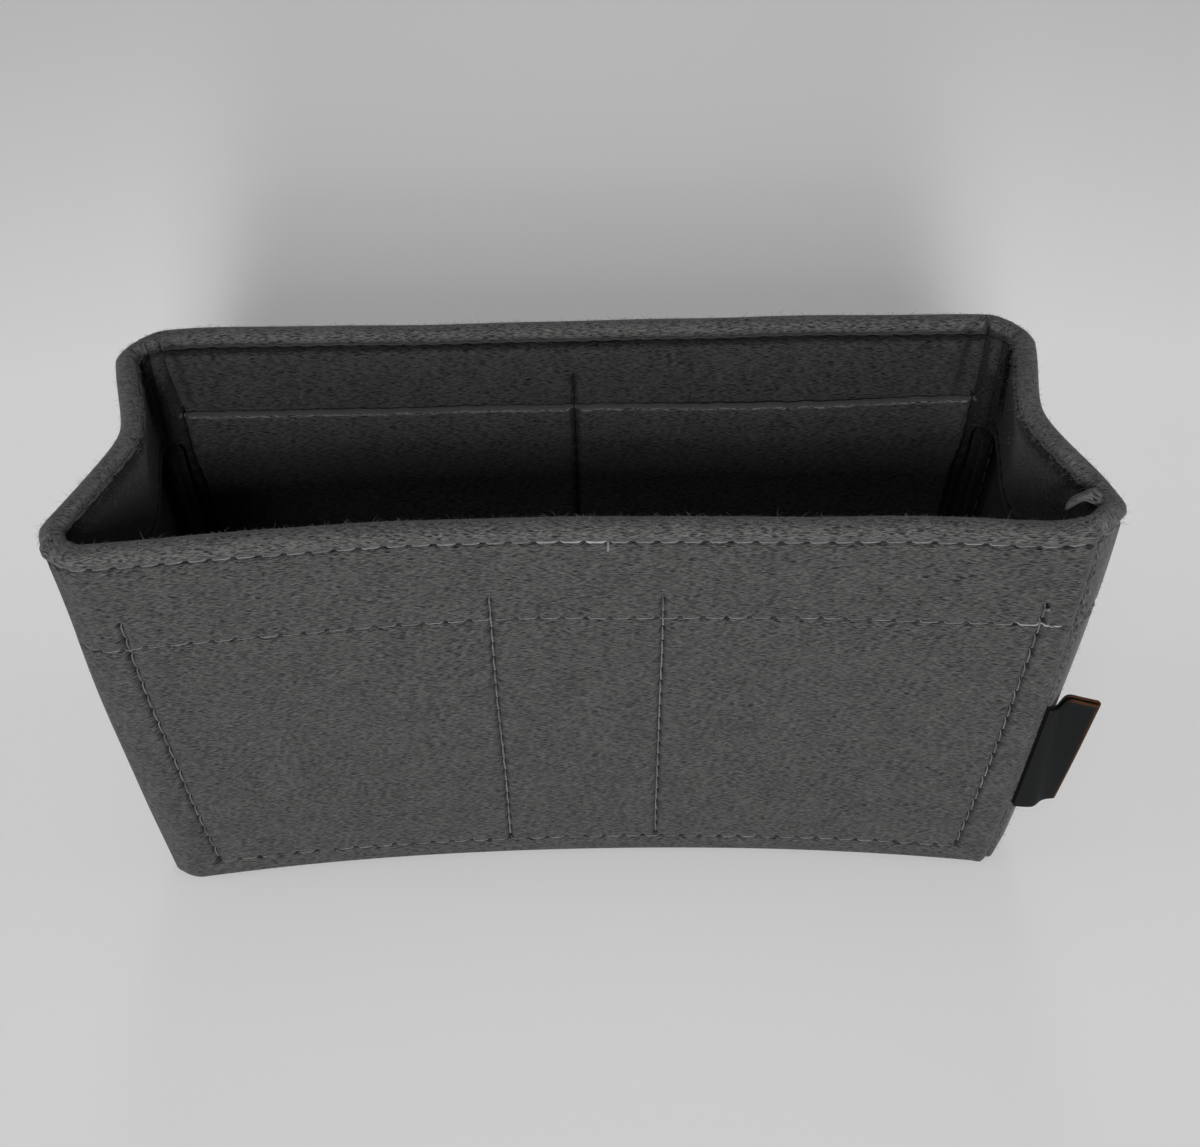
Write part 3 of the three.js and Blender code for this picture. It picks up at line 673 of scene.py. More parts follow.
# One thread in several tones: the back-tacks take a painted highlight; the upright rows, foot rows and
# inside seams, and the inner faces, take darker copies as painted shade
thread_painted_highlight = thread_material("thread_painted_highlight", grey(0.13), (0.25, 0.25, 0.247))
thread_grey = thread_material("thread_grey", grey(0.065), (0.15, 0.15, 0.148))
thread_hem = thread_material("thread_hem", grey(0.055), (0.135, 0.135, 0.133))
thread_painted_shade = thread_material("thread_painted_shade", grey(0.04), (0.12, 0.12, 0.118))
thread_inner_painted_shade = thread_material("thread_inner_painted_shade", grey(0.012), grey(0.035), 0.1)
thread_deep_painted_shade = thread_material("thread_deep_painted_shade", grey(0.004), grey(0.014), 0)
fibre_grey = thread_material("fibre_grey", grey(0.03), (0.10, 0.10, 0.099))
ribbon_black = ribbon_material("ribbon_black")


# Terminals and rows of each panel

def wall_terminal(end, side):
    turn = end["turn"][side]
    s = FLANKS[side]["side"]
    to_u = lambda t, z: s * (straight(end, z) + end["radius"] * t)
    return (end, s, turn, 1, to_u)


def gusset_edge(end):
    """How far from the crease a gusset runs straight."""
    return DEPTH / 2 - end["radius"] - end["side"] * CREASE_Y


def gusset_terminal(end, side):
    edge = gusset_edge(end)
    to_u = lambda t, z: end["side"] * (edge + end["radius"] * (math.pi / 2 - t))
    return (end, FLANKS[side]["side"], end["turn"][side], -1, to_u)


def pocket_half(name, z):
    end, p = ENDS[name], POCKETS[name]
    tips = [
        np.abs(seam(end, f["side"], end["turn"][s], SEAM_GAP + FELT, z, FELT + FIN)[..., 0])
        for s, f in FLANKS.items()
    ]
    room = np.minimum(*tips)
    return room - p["clear"] - p["taper"] * (1 - z / HEIGHT)


def row_half(name, z):
    return pocket_half(name, z) - POCKET_MARGIN


def pocket_depth(name, x, z):
    p = POCKETS[name]
    eased = FELT + 0.3 + (RIM + 0.4 - FELT - 0.3) * smooth(z, FACING_FOOT - 16, FACING_FOOT)
    bulge = 0
    seams = [-row_half(name, z), *p["dividers"], row_half(name, z)]
    for mouth, a, b in zip(p["mouths"], seams, seams[1:]):
        share = np.clip((x - a) / (b - a), 0, 1)
        bulge = bulge + 0.3 * mouth * np.sin(np.pi * share) ** 2 * smooth(z, POCKET_TOP - 45, POCKET_TOP)
    return eased + bulge


def pocket_back(name, x, z):
    """Depth of the pocket's face that looks into the box, and the same above its mouth."""
    return pocket_depth(name, x, np.minimum(z, POCKET_TOP)) + FELT


def upright_places(name):
    sides = {"left_side": lambda z: -row_half(name, z), "right_side": lambda z: row_half(name, z)}
    labels = {-1: "left_divider", 0: "divider", 1: "right_divider"}
    for x in POCKETS[name]["dividers"]:
        lean = 0.012 if x < 0 else 0.0
        sides[labels[(x > 0) - (x < 0)]] = lambda z, x=x, lean=lean: x - lean * (HEIGHT - z)
    return sides


def seam_room(end, inside):
    """The turn that a row keeps free beside a seam."""
    return (FELT + 0.9) / (end["radius"] - FELT) if inside else 1.6 / end["radius"]


def seam_u(name, side, inside):
    end = ENDS[name]
    return straight(end, HEIGHT) + end["radius"] * max(end["turn"][side] - seam_room(end, inside), 0)


def gusset_u(name, side, inside):
    end = ENDS[name]
    turn = math.pi / 2 - end["turn"][side] - seam_room(end, inside)
    return gusset_edge(end) + end["radius"] * max(turn, 0)


# rows[panel][face] is {label: Row}
OUTSIDE = {
    "needle": dict(groove=0.75, width=0.75, hole=0.75), "bobbin": dict(groove=1.15, width=1.3, hole=0.25),
}
rows = {}
for end_name in ENDS:
    faces = {"needle": {}, "bobbin": {}}
    for face, out in FACES:
        low, high = -seam_u(end_name, "left", out < 0), seam_u(end_name, "right", out < 0)
        hem = (lambda u: HEM_ROW + hem_wander(u)) if end_name == "front" else flat(HEM_ROW)
        faces[face]["rim"] = Row("u", low, high, flat(RIM_ROW), **OUTSIDE[face])
        faces[face]["hem"] = Row("u", low, high, hem, groove=0.5, width=0.7, hole=0.5)
    for label, place in upright_places(end_name).items():
        head = TAIL_TOP if label == "divider" else UPRIGHT_HEAD
        faces["needle"][label] = Row("z", UPRIGHT_FOOT, head, place, 1.0, 0.85, 0.9)
    half = float(row_half(end_name, FOOT_ROW))
    faces["needle"]["foot"] = Row("u", -half, half, flat(FOOT_ROW), 0.4, 0.8, 1.0)
    if end_name == "back":
        place = upright_places(end_name)["divider"]
        faces["bobbin"]["divider_tail"] = Row("z", POCKET_TOP + 0.4, TAIL_TOP, place, 1.2, 0.9, 0.9)
    rows[end_name] = faces
for side in FLANKS:
    faces = {}
    for face, out in FACES:
        low, high = -gusset_u("front", side, out < 0), gusset_u("back", side, out < 0)
        faces[face] = {
            "rim": Row("u", low, high, flat(RIM_ROW), **OUTSIDE[face]),
            "hem": Row("u", low, high, flat(HEM_ROW), groove=0.5, width=0.8, hole=0.6),
        }
    rows[side] = faces
pocket_rows = {}
for end_name in ENDS:
    found = {}
    for label, place in upright_places(end_name).items():
        found[label] = Row("z", UPRIGHT_FOOT, UPRIGHT_HEAD + 2, place, 1.3, 1.1, 0.9)
    half = float(row_half(end_name, FOOT_ROW))
    found["foot"] = Row("u", -half, half, flat(FOOT_ROW), groove=0.4)
    pocket_rows[end_name] = found

# Fold lines that the turned rim presses into the facing beside the far corners
creases = {"front": [], "back": [], "left": [], "right": []}
CREASES = {  # distance from the seam at the foot and at the rim, height of the foot, depth, width
    "left": ((3.2, 0.8, 103, 1.4, 0.9), (6.6, 4.4, 104, 0.5, 1.5)),
    "right": ((2.6, 3.0, 103, 1.4, 0.9), (8.6, 7.4, 105, 0.6, 1.2), (0.6, 0.2, 100, 1.2, 0.8)),
}
for side, f in FLANKS.items():
    inner = f["side"] * (seam_u("back", side, True) - 0.4)
    for foot, head, low, deep, width in CREASES[side]:
        creases["back"].append(
            Crease((inner - f["side"] * foot, low), (inner - f["side"] * head, HEIGHT + 2), deep, width)
        )
    inner = gusset_u("back", side, True)
    creases[side].append(Crease((inner - 2.0, 106), (inner - 1.0, HEIGHT + 1), 1.2, 1.0))
    creases[side].append(Crease((inner - 5.5, 104), (inner - 3.6, HEIGHT - 2), 0.6, 1.5))


# The felt pieces

def painted_corner_shade(edge, low, wide, near):
    """Painted shade on the inner face beside the seam at edge, ending towards the rim."""
    return lambda u, z: 0.9 * (1 - smooth(z, low, 124)) * smooth(np.abs(u), edge - wide, edge - near)


def gusset_fullness(edge, u, face):
    """The folded rim is drawn flatter towards the seams outside and towards the crease inside."""
    if face == "inner":
        return 1 - 1.6 * (1 - smooth(np.abs(u), edge - 14, edge))
    return 1 - 0.7 * smooth(np.abs(u), edge - 9, edge - 2)


for end_name, end in ENDS.items():
    surface = partial(wall, end)
    rim = rows[end_name]["needle" if end_name == "front" else "bobbin"]["rim"]
    uprights = [row for row in rows[end_name]["needle"].values() if row.way == "z"]
    left, right = -seam_u(end_name, "left", False), seam_u(end_name, "right", False)
    beads = [(left + 0.4, 1.1, 0.3), (right - 0.2, 1.1, 0.55)] if end_name == "front" else []
    # Painted shade darkens the wall's inner face, most beside its corner seams
    piece = felt_panel(
        f"{end_name}_panel_felt", felt_grey, surface,
        (wall_terminal(end, "left"), wall_terminal(end, "right")),
        columns(rim, left - 1, right + 1, uprights),
        list(rows[end_name]["needle"].values()),
        [*rows[end_name]["bobbin"].values(), *creases[end_name]],
        MAP_AT[end_name], beads, inside=0.55, corner_shade=painted_corner_shade(seam_u(end_name, "left", True), 112, 7, 1.5),
    )
    give(piece, rides(f"{end_name}_wall"), f"{end_name}_panel")
for side in FLANKS:
    surface = partial(flank, side)
    for end_name, end in ENDS.items():
        edge = gusset_u(end_name, side, False) + 1
        base_u = end["side"] * columns(rows[side]["needle"]["rim"], 0.0, edge, ())
        base_u = np.concatenate([base_u[:1], end["side"] * np.array([0.15, 0.35]), base_u[1:]])
        # Painted light lightens the gusset's outer face; painted shade darkens its inner face, the left one
        # more, and most beside its seams
        piece = felt_panel(
            f"{side}_gusset_{end_name}_half", felt_grey, surface,
            (0.0, gusset_terminal(end, side)), base_u,
            list(rows[side]["needle"].values()), [*rows[side]["bobbin"].values(), *creases[side]],
            MAP_AT[side], turned=True, fullness=partial(gusset_fullness, edge),
            outside=-0.35, inside=1.0 if side == "left" else 0.85, corner_shade=painted_corner_shade(edge, 110, 6.5, 2),
        )
        give(piece, blends(), f"{side}_gusset")


# Felt pressed into each corner seam, between the two allowances, darkened all over as painted shade

def seam_core(end_name, side_name):
    end, side = ENDS[end_name], FLANKS[side_name]["side"]
    half = SEAM_GAP - 0.02
    near, short = 1.25, 0.8  # below the felt's face, and short of the allowance's tip
    rings, us, vs = [], [], []
    for z, thick, _, _, fin in panel_levels():
        if not 3 < z < RIM_MIDDLE - 1:
            continue
        far = thick + fin - short
        points = [
            seam(end, side, end["turn"][side_name], across, np.array(z), inward)
            for across, inward in ((-half, near), (half, near), (half, far), (-half, far))
        ]
        rings.append(sway(np.array(points)))
        us.append([0, 2 * half, 4, 4 + 2 * half])
        vs.append([z] * 4)
    name, rings = f"{end_name}_{side_name}_seam_core", np.array(rings)
    # Painted shade: the core is darkened all over
    obj = loft(name, rings, us, vs, felt_grey, np.full(rings.shape[:2], SEAM_PAINTED_SHADE))
    give(obj, rides(f"{end_name}_wall"))


for end_name in ENDS:
    for side in FLANKS:
        seam_core(end_name, side)


# Pocket panels, with softly rounded cut edges

def pocket_panel(name, material):
    end = ENDS[name]
    uprights = [row for row in pocket_rows[name].values() if row.way == "z"]
    step = (UPRIGHT_HEAD + 2 - UPRIGHT_FOOT) / round((UPRIGHT_HEAD + 2 - UPRIGHT_FOOT) / PITCH) / 6
    heights = [POCKET_FOOT, POCKET_FOOT + 0.25, POCKET_FOOT + 0.8]
    heights += [FOOT_ROW + d for d in (-0.9, -0.4, 0, 0.4)]
    heights += list(np.arange(UPRIGHT_FOOT, POCKET_TOP - 0.9, step))
    heights += [POCKET_TOP - d for d in (0.6, 0.3, 0.14, 0.05, 0)]
    rings, us, vs, pressing_and_painted_lights = [], [], [], []
    widest = float(pocket_half(name, HEIGHT))
    base_u = columns(pocket_rows[name]["foot"], -widest, widest, uprights)
    for z in heights:
        half = float(pocket_half(name, z))
        x = fitted(base_u, (-half, half), uprights, z)
        zz = np.full_like(x, z)
        top = np.clip(1 - (POCKET_TOP - z) / CUT_ROUND, 0, 1)
        foot = np.clip(1 - (z - POCKET_FOOT) / CUT_ROUND, 0, 1)
        near = np.clip(1 - (half - np.abs(x)) / CUT_ROUND, 0, 1)
        cut = CUT_ROUND * (1 - np.sqrt(np.clip(1 - np.maximum(max(top, foot), near) ** 2, 0, 1)))
        sunk = dents(list(pocket_rows[name].values()), x, zz)
        sunk = np.minimum(sunk, FELT - 2 * CUT_ROUND)
        depth = pocket_depth(name, x, zz)
        outer = wall_straight(end, x, zz, depth + cut)
        inner = wall_straight(end, x, zz, depth + FELT - cut - sunk)
        ragged = 0.12 * smooth(z, POCKET_TOP - 2, POCKET_TOP) * waves(outer, 2.5, 21)
        outer[:, 2] += ragged
        inner[:, 2] += ragged
        rings.append(np.concatenate([outer, inner[::-1]]))
        us.append(np.concatenate([x, x[::-1] + 700]) + MAP_AT[f"{name}_pocket"])
        vs.append(np.full(2 * len(x), z))
        # Painted shade in the stitch grooves, where the felt is also pressed in, and along the side edges;
        # a painted highlight on the top cut edge; painted light low in the pocket and painted shade near
        # its mouth
        dim = np.clip((sunk - 0.2) / 0.8, 0, 1) + 0.6 * smooth(np.abs(x), half - 1.5, half)
        painted_edge_highlight = 1.1 * float(smooth(z, POCKET_TOP - 0.5, POCKET_TOP - 0.1))
        shade = np.interp(z, [45, 95], [-0.4, 0.3])
        pressing_and_painted_lights.append(np.concatenate([0 * x, np.clip(dim[::-1] + shade, -0.4, 1) - painted_edge_highlight]))
    obj = loft(f"{name}_pocket_felt", sway(np.array(rings)), us, vs, material, pressing_and_painted_lights)
    give(obj, rides(f"{name}_wall"), f"{name}_pocket")


for end_name in ENDS:
    pocket_panel(end_name, pocket_grey)


# Bottom panel

def bottom_panel():
    rings, us, vs = [], [], []
    profile = [(0.0, 0.7), (0.15, 0.3), (0.5, 0.05), (1.2, 0), (1.9, 0.05), (2.25, 0.3), (FELT, 0.7)]
    for z, cut in profile:
        lines = []
        for end in ENDS.values():
            inward = FELT + BOTTOM_GAP + cut
            half = float(straight(end, z))
            middle = wall_straight(end, np.linspace(-half, half, 60)[1:-1], z, inward)
            middle[:, 2] = z
            left = [corner(end, -1, a, z, inward) for a in np.linspace(math.pi / 2, 0, 7)]
            right = [corner(end, 1, a, z, inward) for a in np.linspace(0, math.pi / 2, 7)]
            lines.append(np.array([*left, *middle, *right]))
        rings.append(np.concatenate([lines[0], lines[1][::-1]]))
        us.append(np.concatenate([lines[0][:, 0], lines[1][::-1, 0]]) + MAP_AT["bottom"])
        vs.append(np.concatenate([lines[0][:, 1], lines[1][::-1, 1]]) + 40 * z)
    obj = loft("bottom_panel_felt", np.array(rings), us, vs, felt_grey)
    give(obj, rides("base"), "bottom_panel")


bottom_panel()


# Stitches: twisted thread that dips into the felt at both ends

def run_length(points):
    return np.concatenate([[0], np.cumsum(np.linalg.norm(np.diff(points, axis=0), axis=1))])


def between(at, places, values):
    """Points or directions read off between those given at some places."""
    return np.stack([np.interp(at, places, values[:, i]) for i in range(3)], 1)


def smoothed(line, times):
    for _ in range(times):
        line[1:-1] = (line[:-2] + 2 * line[1:-1] + line[2:]) / 4
    return line


def tube(points, normals, radius, sides, twist, plies=True):
    """Rings of a thread along points, with the waists of two twisted plies or plainly round."""
    tangent = unit(np.gradient(points, axis=0))
    normals = unit(normals - (normals * tangent).sum(1)[:, None] * tangent)
    cross = np.cross(tangent, normals)
    angle = np.arange(sides) * 2 * np.pi / sides
    size = np.full((len(points), sides), float(radius))
    if plies:
        size = size * (0.74 + 0.3 * np.abs(np.cos(angle - run_length(points)[:, None] * twist)))
    high, wide = (np.cos(angle) * size)[..., None], (np.sin(angle) * size)[..., None]
    return points[:, None] + high * normals[:, None] + wide * cross[:, None]


class Bundle:
    """Collects many small tubes into one mesh."""

    def __init__(self):
        self.verts, self.faces, self.count = [], [], 0

    def add(self, rings):
        k, n = rings.shape[:2]
        ring = self.count + np.arange(n)
        self.faces += (self.count + skin(k, n)).tolist()
        self.faces += [ring[::-1].tolist(), (ring + (k - 1) * n).tolist()]
        self.verts.append(rings.reshape(-1, 3))
        self.count += k * n

    def build(self, name, material):
        return new_mesh(name, np.concatenate([sway(v) for v in self.verts]), self.faces, material)


def stitch(bundle, line, sink, slant, radius=THREAD):
    """line(t) gives points and outward normals for t from 0 to 1."""
    t = np.array([0, 0.04, 0.09, 0.16, 0.27, 0.385, 0.5, 0.615, 0.73, 0.84, 0.91, 0.96, 1])
    points, normals = line(t)
    cross = np.cross(normals[len(t) // 2], unit(points[-1] - points[0]))
    out = smooth(np.minimum(t, 1 - t), 0.05, 0.2)
    lift = -sink + (sink + radius * 0.6) * out
    side = slant * (t - 0.5) * 2
    points = points + normals * lift[:, None] + cross * side[:, None]
    bundle.add(tube(points, normals, radius, 8, 3.2))


def surface_line(surface, row, start, end, inward, out):
    """Points on the dented face between two places of a row, and the directions away from the felt."""

    def line(t):
        along = start + (end - start) * t
        across = row.line(along)
        u, z = (along, across) if row.way == "u" else (across, along)
        u, z = u + 0 * along, z + 0 * along
        deep = inward(u, z)
        groove = row.groove * 0.85
        points = surface(u, z, deep + groove * out)
        return points, unit(surface(u, z, deep - out) - surface(u, z, deep))

    return line


def sew(name, node_name, row, surface, inward, out, mover, thread, doubled=(), radius=THREAD):
    """One row of stitches. out: 1 on an outer face, -1 on an inner one; doubled: back-tacked stretches."""
    bundle, tacks = Bundle(), Bundle()
    places = row.ends
    for k in range(len(places) - 1):
        jitter = rng.uniform(-0.12, 0.12, 2)
        lean = 0.1 + rng.uniform(-0.05, 0.07)
        line = surface_line(surface, row, places[k] + jitter[0], places[k + 1] + jitter[1], inward, out)
        middle = (places[k] + places[k + 1]) / 2
        tacked = any(low < middle < high for low, high in doubled)
        stitch(tacks if tacked else bundle, line, row.hole + 0.45, lean, radius * (1.25 if tacked else 1))
        if tacked:
            stitch(tacks, line, 0.5, -lean, radius * 1.15)
    # Back-tacks take the painted-highlight copy of the thread
    groups = ((bundle, name, thread), (tacks, f"{name}_backtack", thread_painted_highlight))
    for group, label, material in groups:
        if group.count:
            give(group.build(label, material), mover, node_name)


def sew_part(name, node_name, row, keep, *rest):
    """As sew, for the stitches of a row whose middles keep() accepts."""
    part = Row(row.way, row.start, row.end, row.line, row.groove, row.width, row.hole)
    kept = [k for k in range(len(row.ends) - 1) if keep((row.ends[k] + row.ends[k + 1]) / 2)]
    part.ends = row.ends[kept[0]: kept[-1] + 2]
    sew(name, node_name, part, *rest)


DOUBLED = {("front", "rim", "needle"): [(-8.6, 6.8)], ("front", "hem", "needle"): [(96, 107)]}
THREADS = {"rim": thread_grey, "hem": thread_hem}
# Inner faces take darker copies of the thread, painted shade
INNER_THREADS = {"rim": thread_deep_painted_shade, "hem": thread_inner_painted_shade}
for end_name, end in ENDS.items():
    surface = partial(wall, end)
    mover = rides(f"{end_name}_wall")
    for face, out in FACES:
        for label in ("rim", "hem"):
            inward = flat(0 if out > 0 else RIM)
            sew(
                f"{end_name}_{label}_{face}_stitches", f"{end_name}_{label}_{face}_thread",
                rows[end_name][face][label], surface, inward, out, mover,
                (THREADS if out > 0 else INNER_THREADS)[label], DOUBLED.get((end_name, label, face), ()),
                THREAD if label == "rim" else HEM_THREAD,
            )
    for label in [*upright_places(end_name), "foot"]:
        base = f"{end_name}_pocket_{label}"
        sew(
            f"{base}_needle_stitches", f"{base}_needle_thread", rows[end_name]["needle"][label],
            surface, flat(0), 1, mover, thread_painted_shade,
        )
        sew(
            f"{base}_bobbin_stitches", f"{base}_bobbin_thread", pocket_rows[end_name][label],
            surface, partial(pocket_back, end_name), -1, mover, thread_deep_painted_shade,
        )
    if "divider_tail" in rows[end_name]["bobbin"]:
        sew(
            f"{end_name}_pocket_divider_tail_stitches", f"{end_name}_pocket_divider_bobbin_thread",
            rows[end_name]["bobbin"]["divider_tail"], surface, flat(RIM), -1, mover, thread_deep_painted_shade,
        )
for side in FLANKS:
    surface = partial(flank, side)
    for face, out in FACES:
        for label in ("rim", "hem"):
            inward = flat(0 if out > 0 else RIM)
            for end_name, end in ENDS.items():
                keep = (lambda m: m < 0) if end["side"] < 0 else (lambda m: m >= 0)
                mover = blends()
                sew_part(
                    f"{side}_{label}_{face}_stitches_{end_name}", f"{side}_{label}_{face}_thread",
                    rows[side][face][label], keep, surface, inward, out, mover,
                    (THREADS if out > 0 else INNER_THREADS)[label],
                )


# Seams inside: along the corner allowances and round the bottom

def sew_points(name, node_name, points, normals, mover):
    """Stitches along a line of points, as long as the others."""
    points, normals = np.asarray(points, float), np.asarray(normals, float)
    steps = run_length(points)
    count = max(1, round(steps[-1] / PITCH))
    bundle = Bundle()
    for k in range(count):
        low, high = steps[-1] * k / count, steps[-1] * (k + 1) / count

        def line(t, low=low, high=high):
            at = low + (high - low) * t
            return between(at, steps, points), unit(between(at, steps, normals))

        stitch(bundle, line, 0.5, 0.1)
    give(bundle.build(name, thread_painted_shade), mover, node_name)


for end_name, end in ENDS.items():
    for side, f in FLANKS.items():
        turn = end["turn"][side]
        for layer, way in FACES:
            z = np.linspace(FIN_FOOT + 1, FIN_HEAD - 1, 30)
            points = [seam(end, f["side"], turn, way * (SEAM_GAP + FELT), h, FELT + FIN / 2) for h in z]
            away = np.array([-f["side"] * math.cos(turn), end["side"] * math.sin(turn), 0]) * way
            base = f"{end_name}_{side}_corner_{layer}"
            mover = rides(f"{end_name}_wall") if way > 0 else blends()
            sew_points(f"{base}_stitches", f"{base}_thread", points, [away] * len(z), mover)
    half = float(straight(end, FELT)) - 3
    points = wall_straight(end, np.linspace(-half, half, 80), np.full(80, FELT), BOTTOM_ROW)
    points[:, 2] = FELT
    sew_points(
        f"{end_name}_bottom_seam_stitches", f"{end_name}_bottom_seam_thread", points,
        [(0, 0, 1)] * 80, rides("base"),
    )
for side in FLANKS:
    ys = np.linspace(-(DEPTH / 2 - 13), DEPTH / 2 - 10, 30)
    points = flank(side, ys - CREASE_Y, np.zeros(30), BOTTOM_ROW)
    points[:, 2] = FELT
    sew_points(
        f"{side}_bottom_seam_stitches", f"{side}_bottom_seam_thread", points,
        [(0, 0, 1)] * 30, rides("base"),
    )


# Loose fibres that stand off the felt, thickest along the rim

def fibre_coat(name, surface, span, count, seed, mover):
    r = np.random.default_rng(seed)
    bundle = Bundle()
    for _ in range(count):
        kind = r.random()
        u = r.uniform(*span)
        if kind < 0.62:
            turn = r.uniform(-0.2, math.pi + 0.2)
            z = RIM_MIDDLE + RIM / 2 * math.sin(turn)
            inward = RIM / 2 - RIM / 2 * math.cos(turn)
            lean = (math.cos(turn), math.sin(turn))
            length = r.gamma(3.0, 0.26)
        elif kind < 0.85:
            z, inward, lean = r.uniform(1, HEIGHT - 3), 0.0, (1.0, 0.1)
            length = r.gamma(3.0, 0.16)
        else:
            z, inward, lean = r.uniform(FACING_FOOT + 1, HEIGHT - 3), RIM, (-1.0, 0.1)
            length = r.gamma(3.0, 0.2)
        uu, zz = np.array([u, u, u + 0.5]), np.array([z, z, z])
        p, q, s = surface(uu, zz, np.array([inward, inward - 0.5, inward]))
        along = unit(s - p)
        normal = unit(unit(q - p) * lean[0] + np.array([0, 0, 1]) * lean[1])
        swing = r.uniform(-1.3, 1.3)
        sideways = np.cross(normal, along) * math.cos(swing) * 0.7
        heading = unit(normal * r.uniform(0.15, 0.8) + along * math.sin(swing) + sideways)
        bend = r.normal(size=3) * 0.35
        t = np.linspace(0, 1, 5)[:, None]
        points = p - normal * 0.12 + heading * t * length + bend * t**2 * length * 0.5
        points += normal * (0.18 * np.sin(np.pi * t))
        radius = r.uniform(0.018, 0.032)
        rings = tube(points, np.tile(normal, (5, 1)) + 1e-6, radius, 3, 0, plies=False)
        centre = rings.mean(1, keepdims=True)
        taper = np.array([1, 1, 0.85, 0.6, 0.15])[:, None, None]
        bundle.add(centre + (rings - centre) * taper)
    give(bundle.build(name, fibre_grey), mover)


COAT = 1.0
for k, (end_name, end) in enumerate(ENDS.items()):
    surface = partial(wall, end)
    span = (-float(seam_u(end_name, "left", False)), float(seam_u(end_name, "right", False)))
    fibre_coat(
        f"{end_name}_fibres", surface, span, int(9000 * COAT), 31 + k,
        rides(f"{end_name}_wall"),
    )
for k, side in enumerate(FLANKS):
    surface = partial(flank, side)
    for end_name, end in ENDS.items():
        reached = end["side"] * float(gusset_u(end_name, side, False))
        span = (min(reached, 0), max(reached, 0))
        fibre_coat(
            f"{side}_fibres_{end_name}", surface, span, int(2600 * COAT), 41 + 2 * k,
            blends(),
        )


# Small marks of the sewing: a tuck of felt in the right front corner and loose thread ends

def corner_tuck():
    """The corner of the turned allowance, curled up beside the rim."""
    path = np.array([
        (103.0, -26.8, 124.8), (104.2, -26.6, 126.3), (105.8, -26.4, 127.4), (107.4, -26.4, 127.6),
        (109.3, -26.8, 126.9), (111.0, -27.6, 125.7), (112.2, -28.8, 124.0),
    ])
    t = np.linspace(0, 1, len(path))
    fine = np.linspace(0, 1, 34)
    spine = smoothed(between(fine, t, path), 3)
    tangent = unit(np.gradient(spine, axis=0))
    broad = np.array([0.25, 1.0, 0.1])
    broad = unit(broad - tangent * (tangent @ broad)[:, None])
    thin = np.cross(tangent, broad)
    sides = 24
    angle = np.arange(sides) * 2 * np.pi / sides
    swell = np.sqrt(np.clip(1 - (2 * fine - 1) ** 6, 0.02, 1))
    swell = swell * np.interp(fine, [0, 0.3, 0.6, 1], [0.45, 0.8, 1, 1])
    wide = np.sign(np.cos(angle)) * np.abs(np.cos(angle)) ** 0.7 * 2.1 * swell[:, None]
    high = np.sign(np.sin(angle)) * np.abs(np.sin(angle)) ** 0.8 * 1.2 * swell[:, None]
    rings = spine[:, None] + wide[..., None] * broad[:, None] + high[..., None] * thin[:, None]
    rings += 0.4 * waves(rings, 3.0, 61)[..., None] * np.array([0.4, 0.6, 0.7])
    around = np.tile(angle * 1.6, (len(rings), 1))
    along = np.repeat(fine[:, None] * 12 + MAP_AT["tuck"], sides, 1)
    # Painted light: the tuck is painted lighter all over
    obj = loft("rim_corner_tuck", sway(rings), along, around, felt_grey, np.full(rings.shape[:2], -0.7))
    give(obj, rides("front_wall"))


def thread_ends():
    """Cut ends of the needle thread that stand out of the front wall."""
    end = ENDS["front"]
    bundle = Bundle()
    right_row = rows["front"]["needle"]["right_side"]
    for u, z, step, rise, length in (
        (7.2, RIM_ROW, -0.06, -1.0, 1.7), (float(right_row.line(104)), 104.6, 0.35, 0.9, 1.3),
        (float(right_row.line(99)) + 1.6, HEM_ROW + 0.5, 0.8, 0.6, 1.1),
    ):
        t = np.linspace(0, 1, 8)
        along = u + step * length * t
        up = z + rise * length * t
        points = wall(end, along, up, 0.9 - 1.3 * np.sin(np.pi * np.minimum(t * 1.5, 1) / 2))
        bundle.add(tube(points, np.tile([0.0, -1.0, 0.2], (8, 1)), THREAD * 1.5, 8, 3.0))
    give(bundle.build("front_thread_ends", thread_grey), rides("front_wall"))


corner_tuck()
thread_ends()


# Side tag: a folded ribbon

TAG_FOOT, TAG_TALL = 29.0, 40.6
TAG_CLEAR, TAG_RIBBON = 0.55, 0.45  # how far its seam stands off the felt, and the ribbon's thickness
TAG_HEADING = math.radians(100)
TAG_RUN, TAG_FOLD = 12.6, 13.1  # the map's length along one side, and its place at the fold


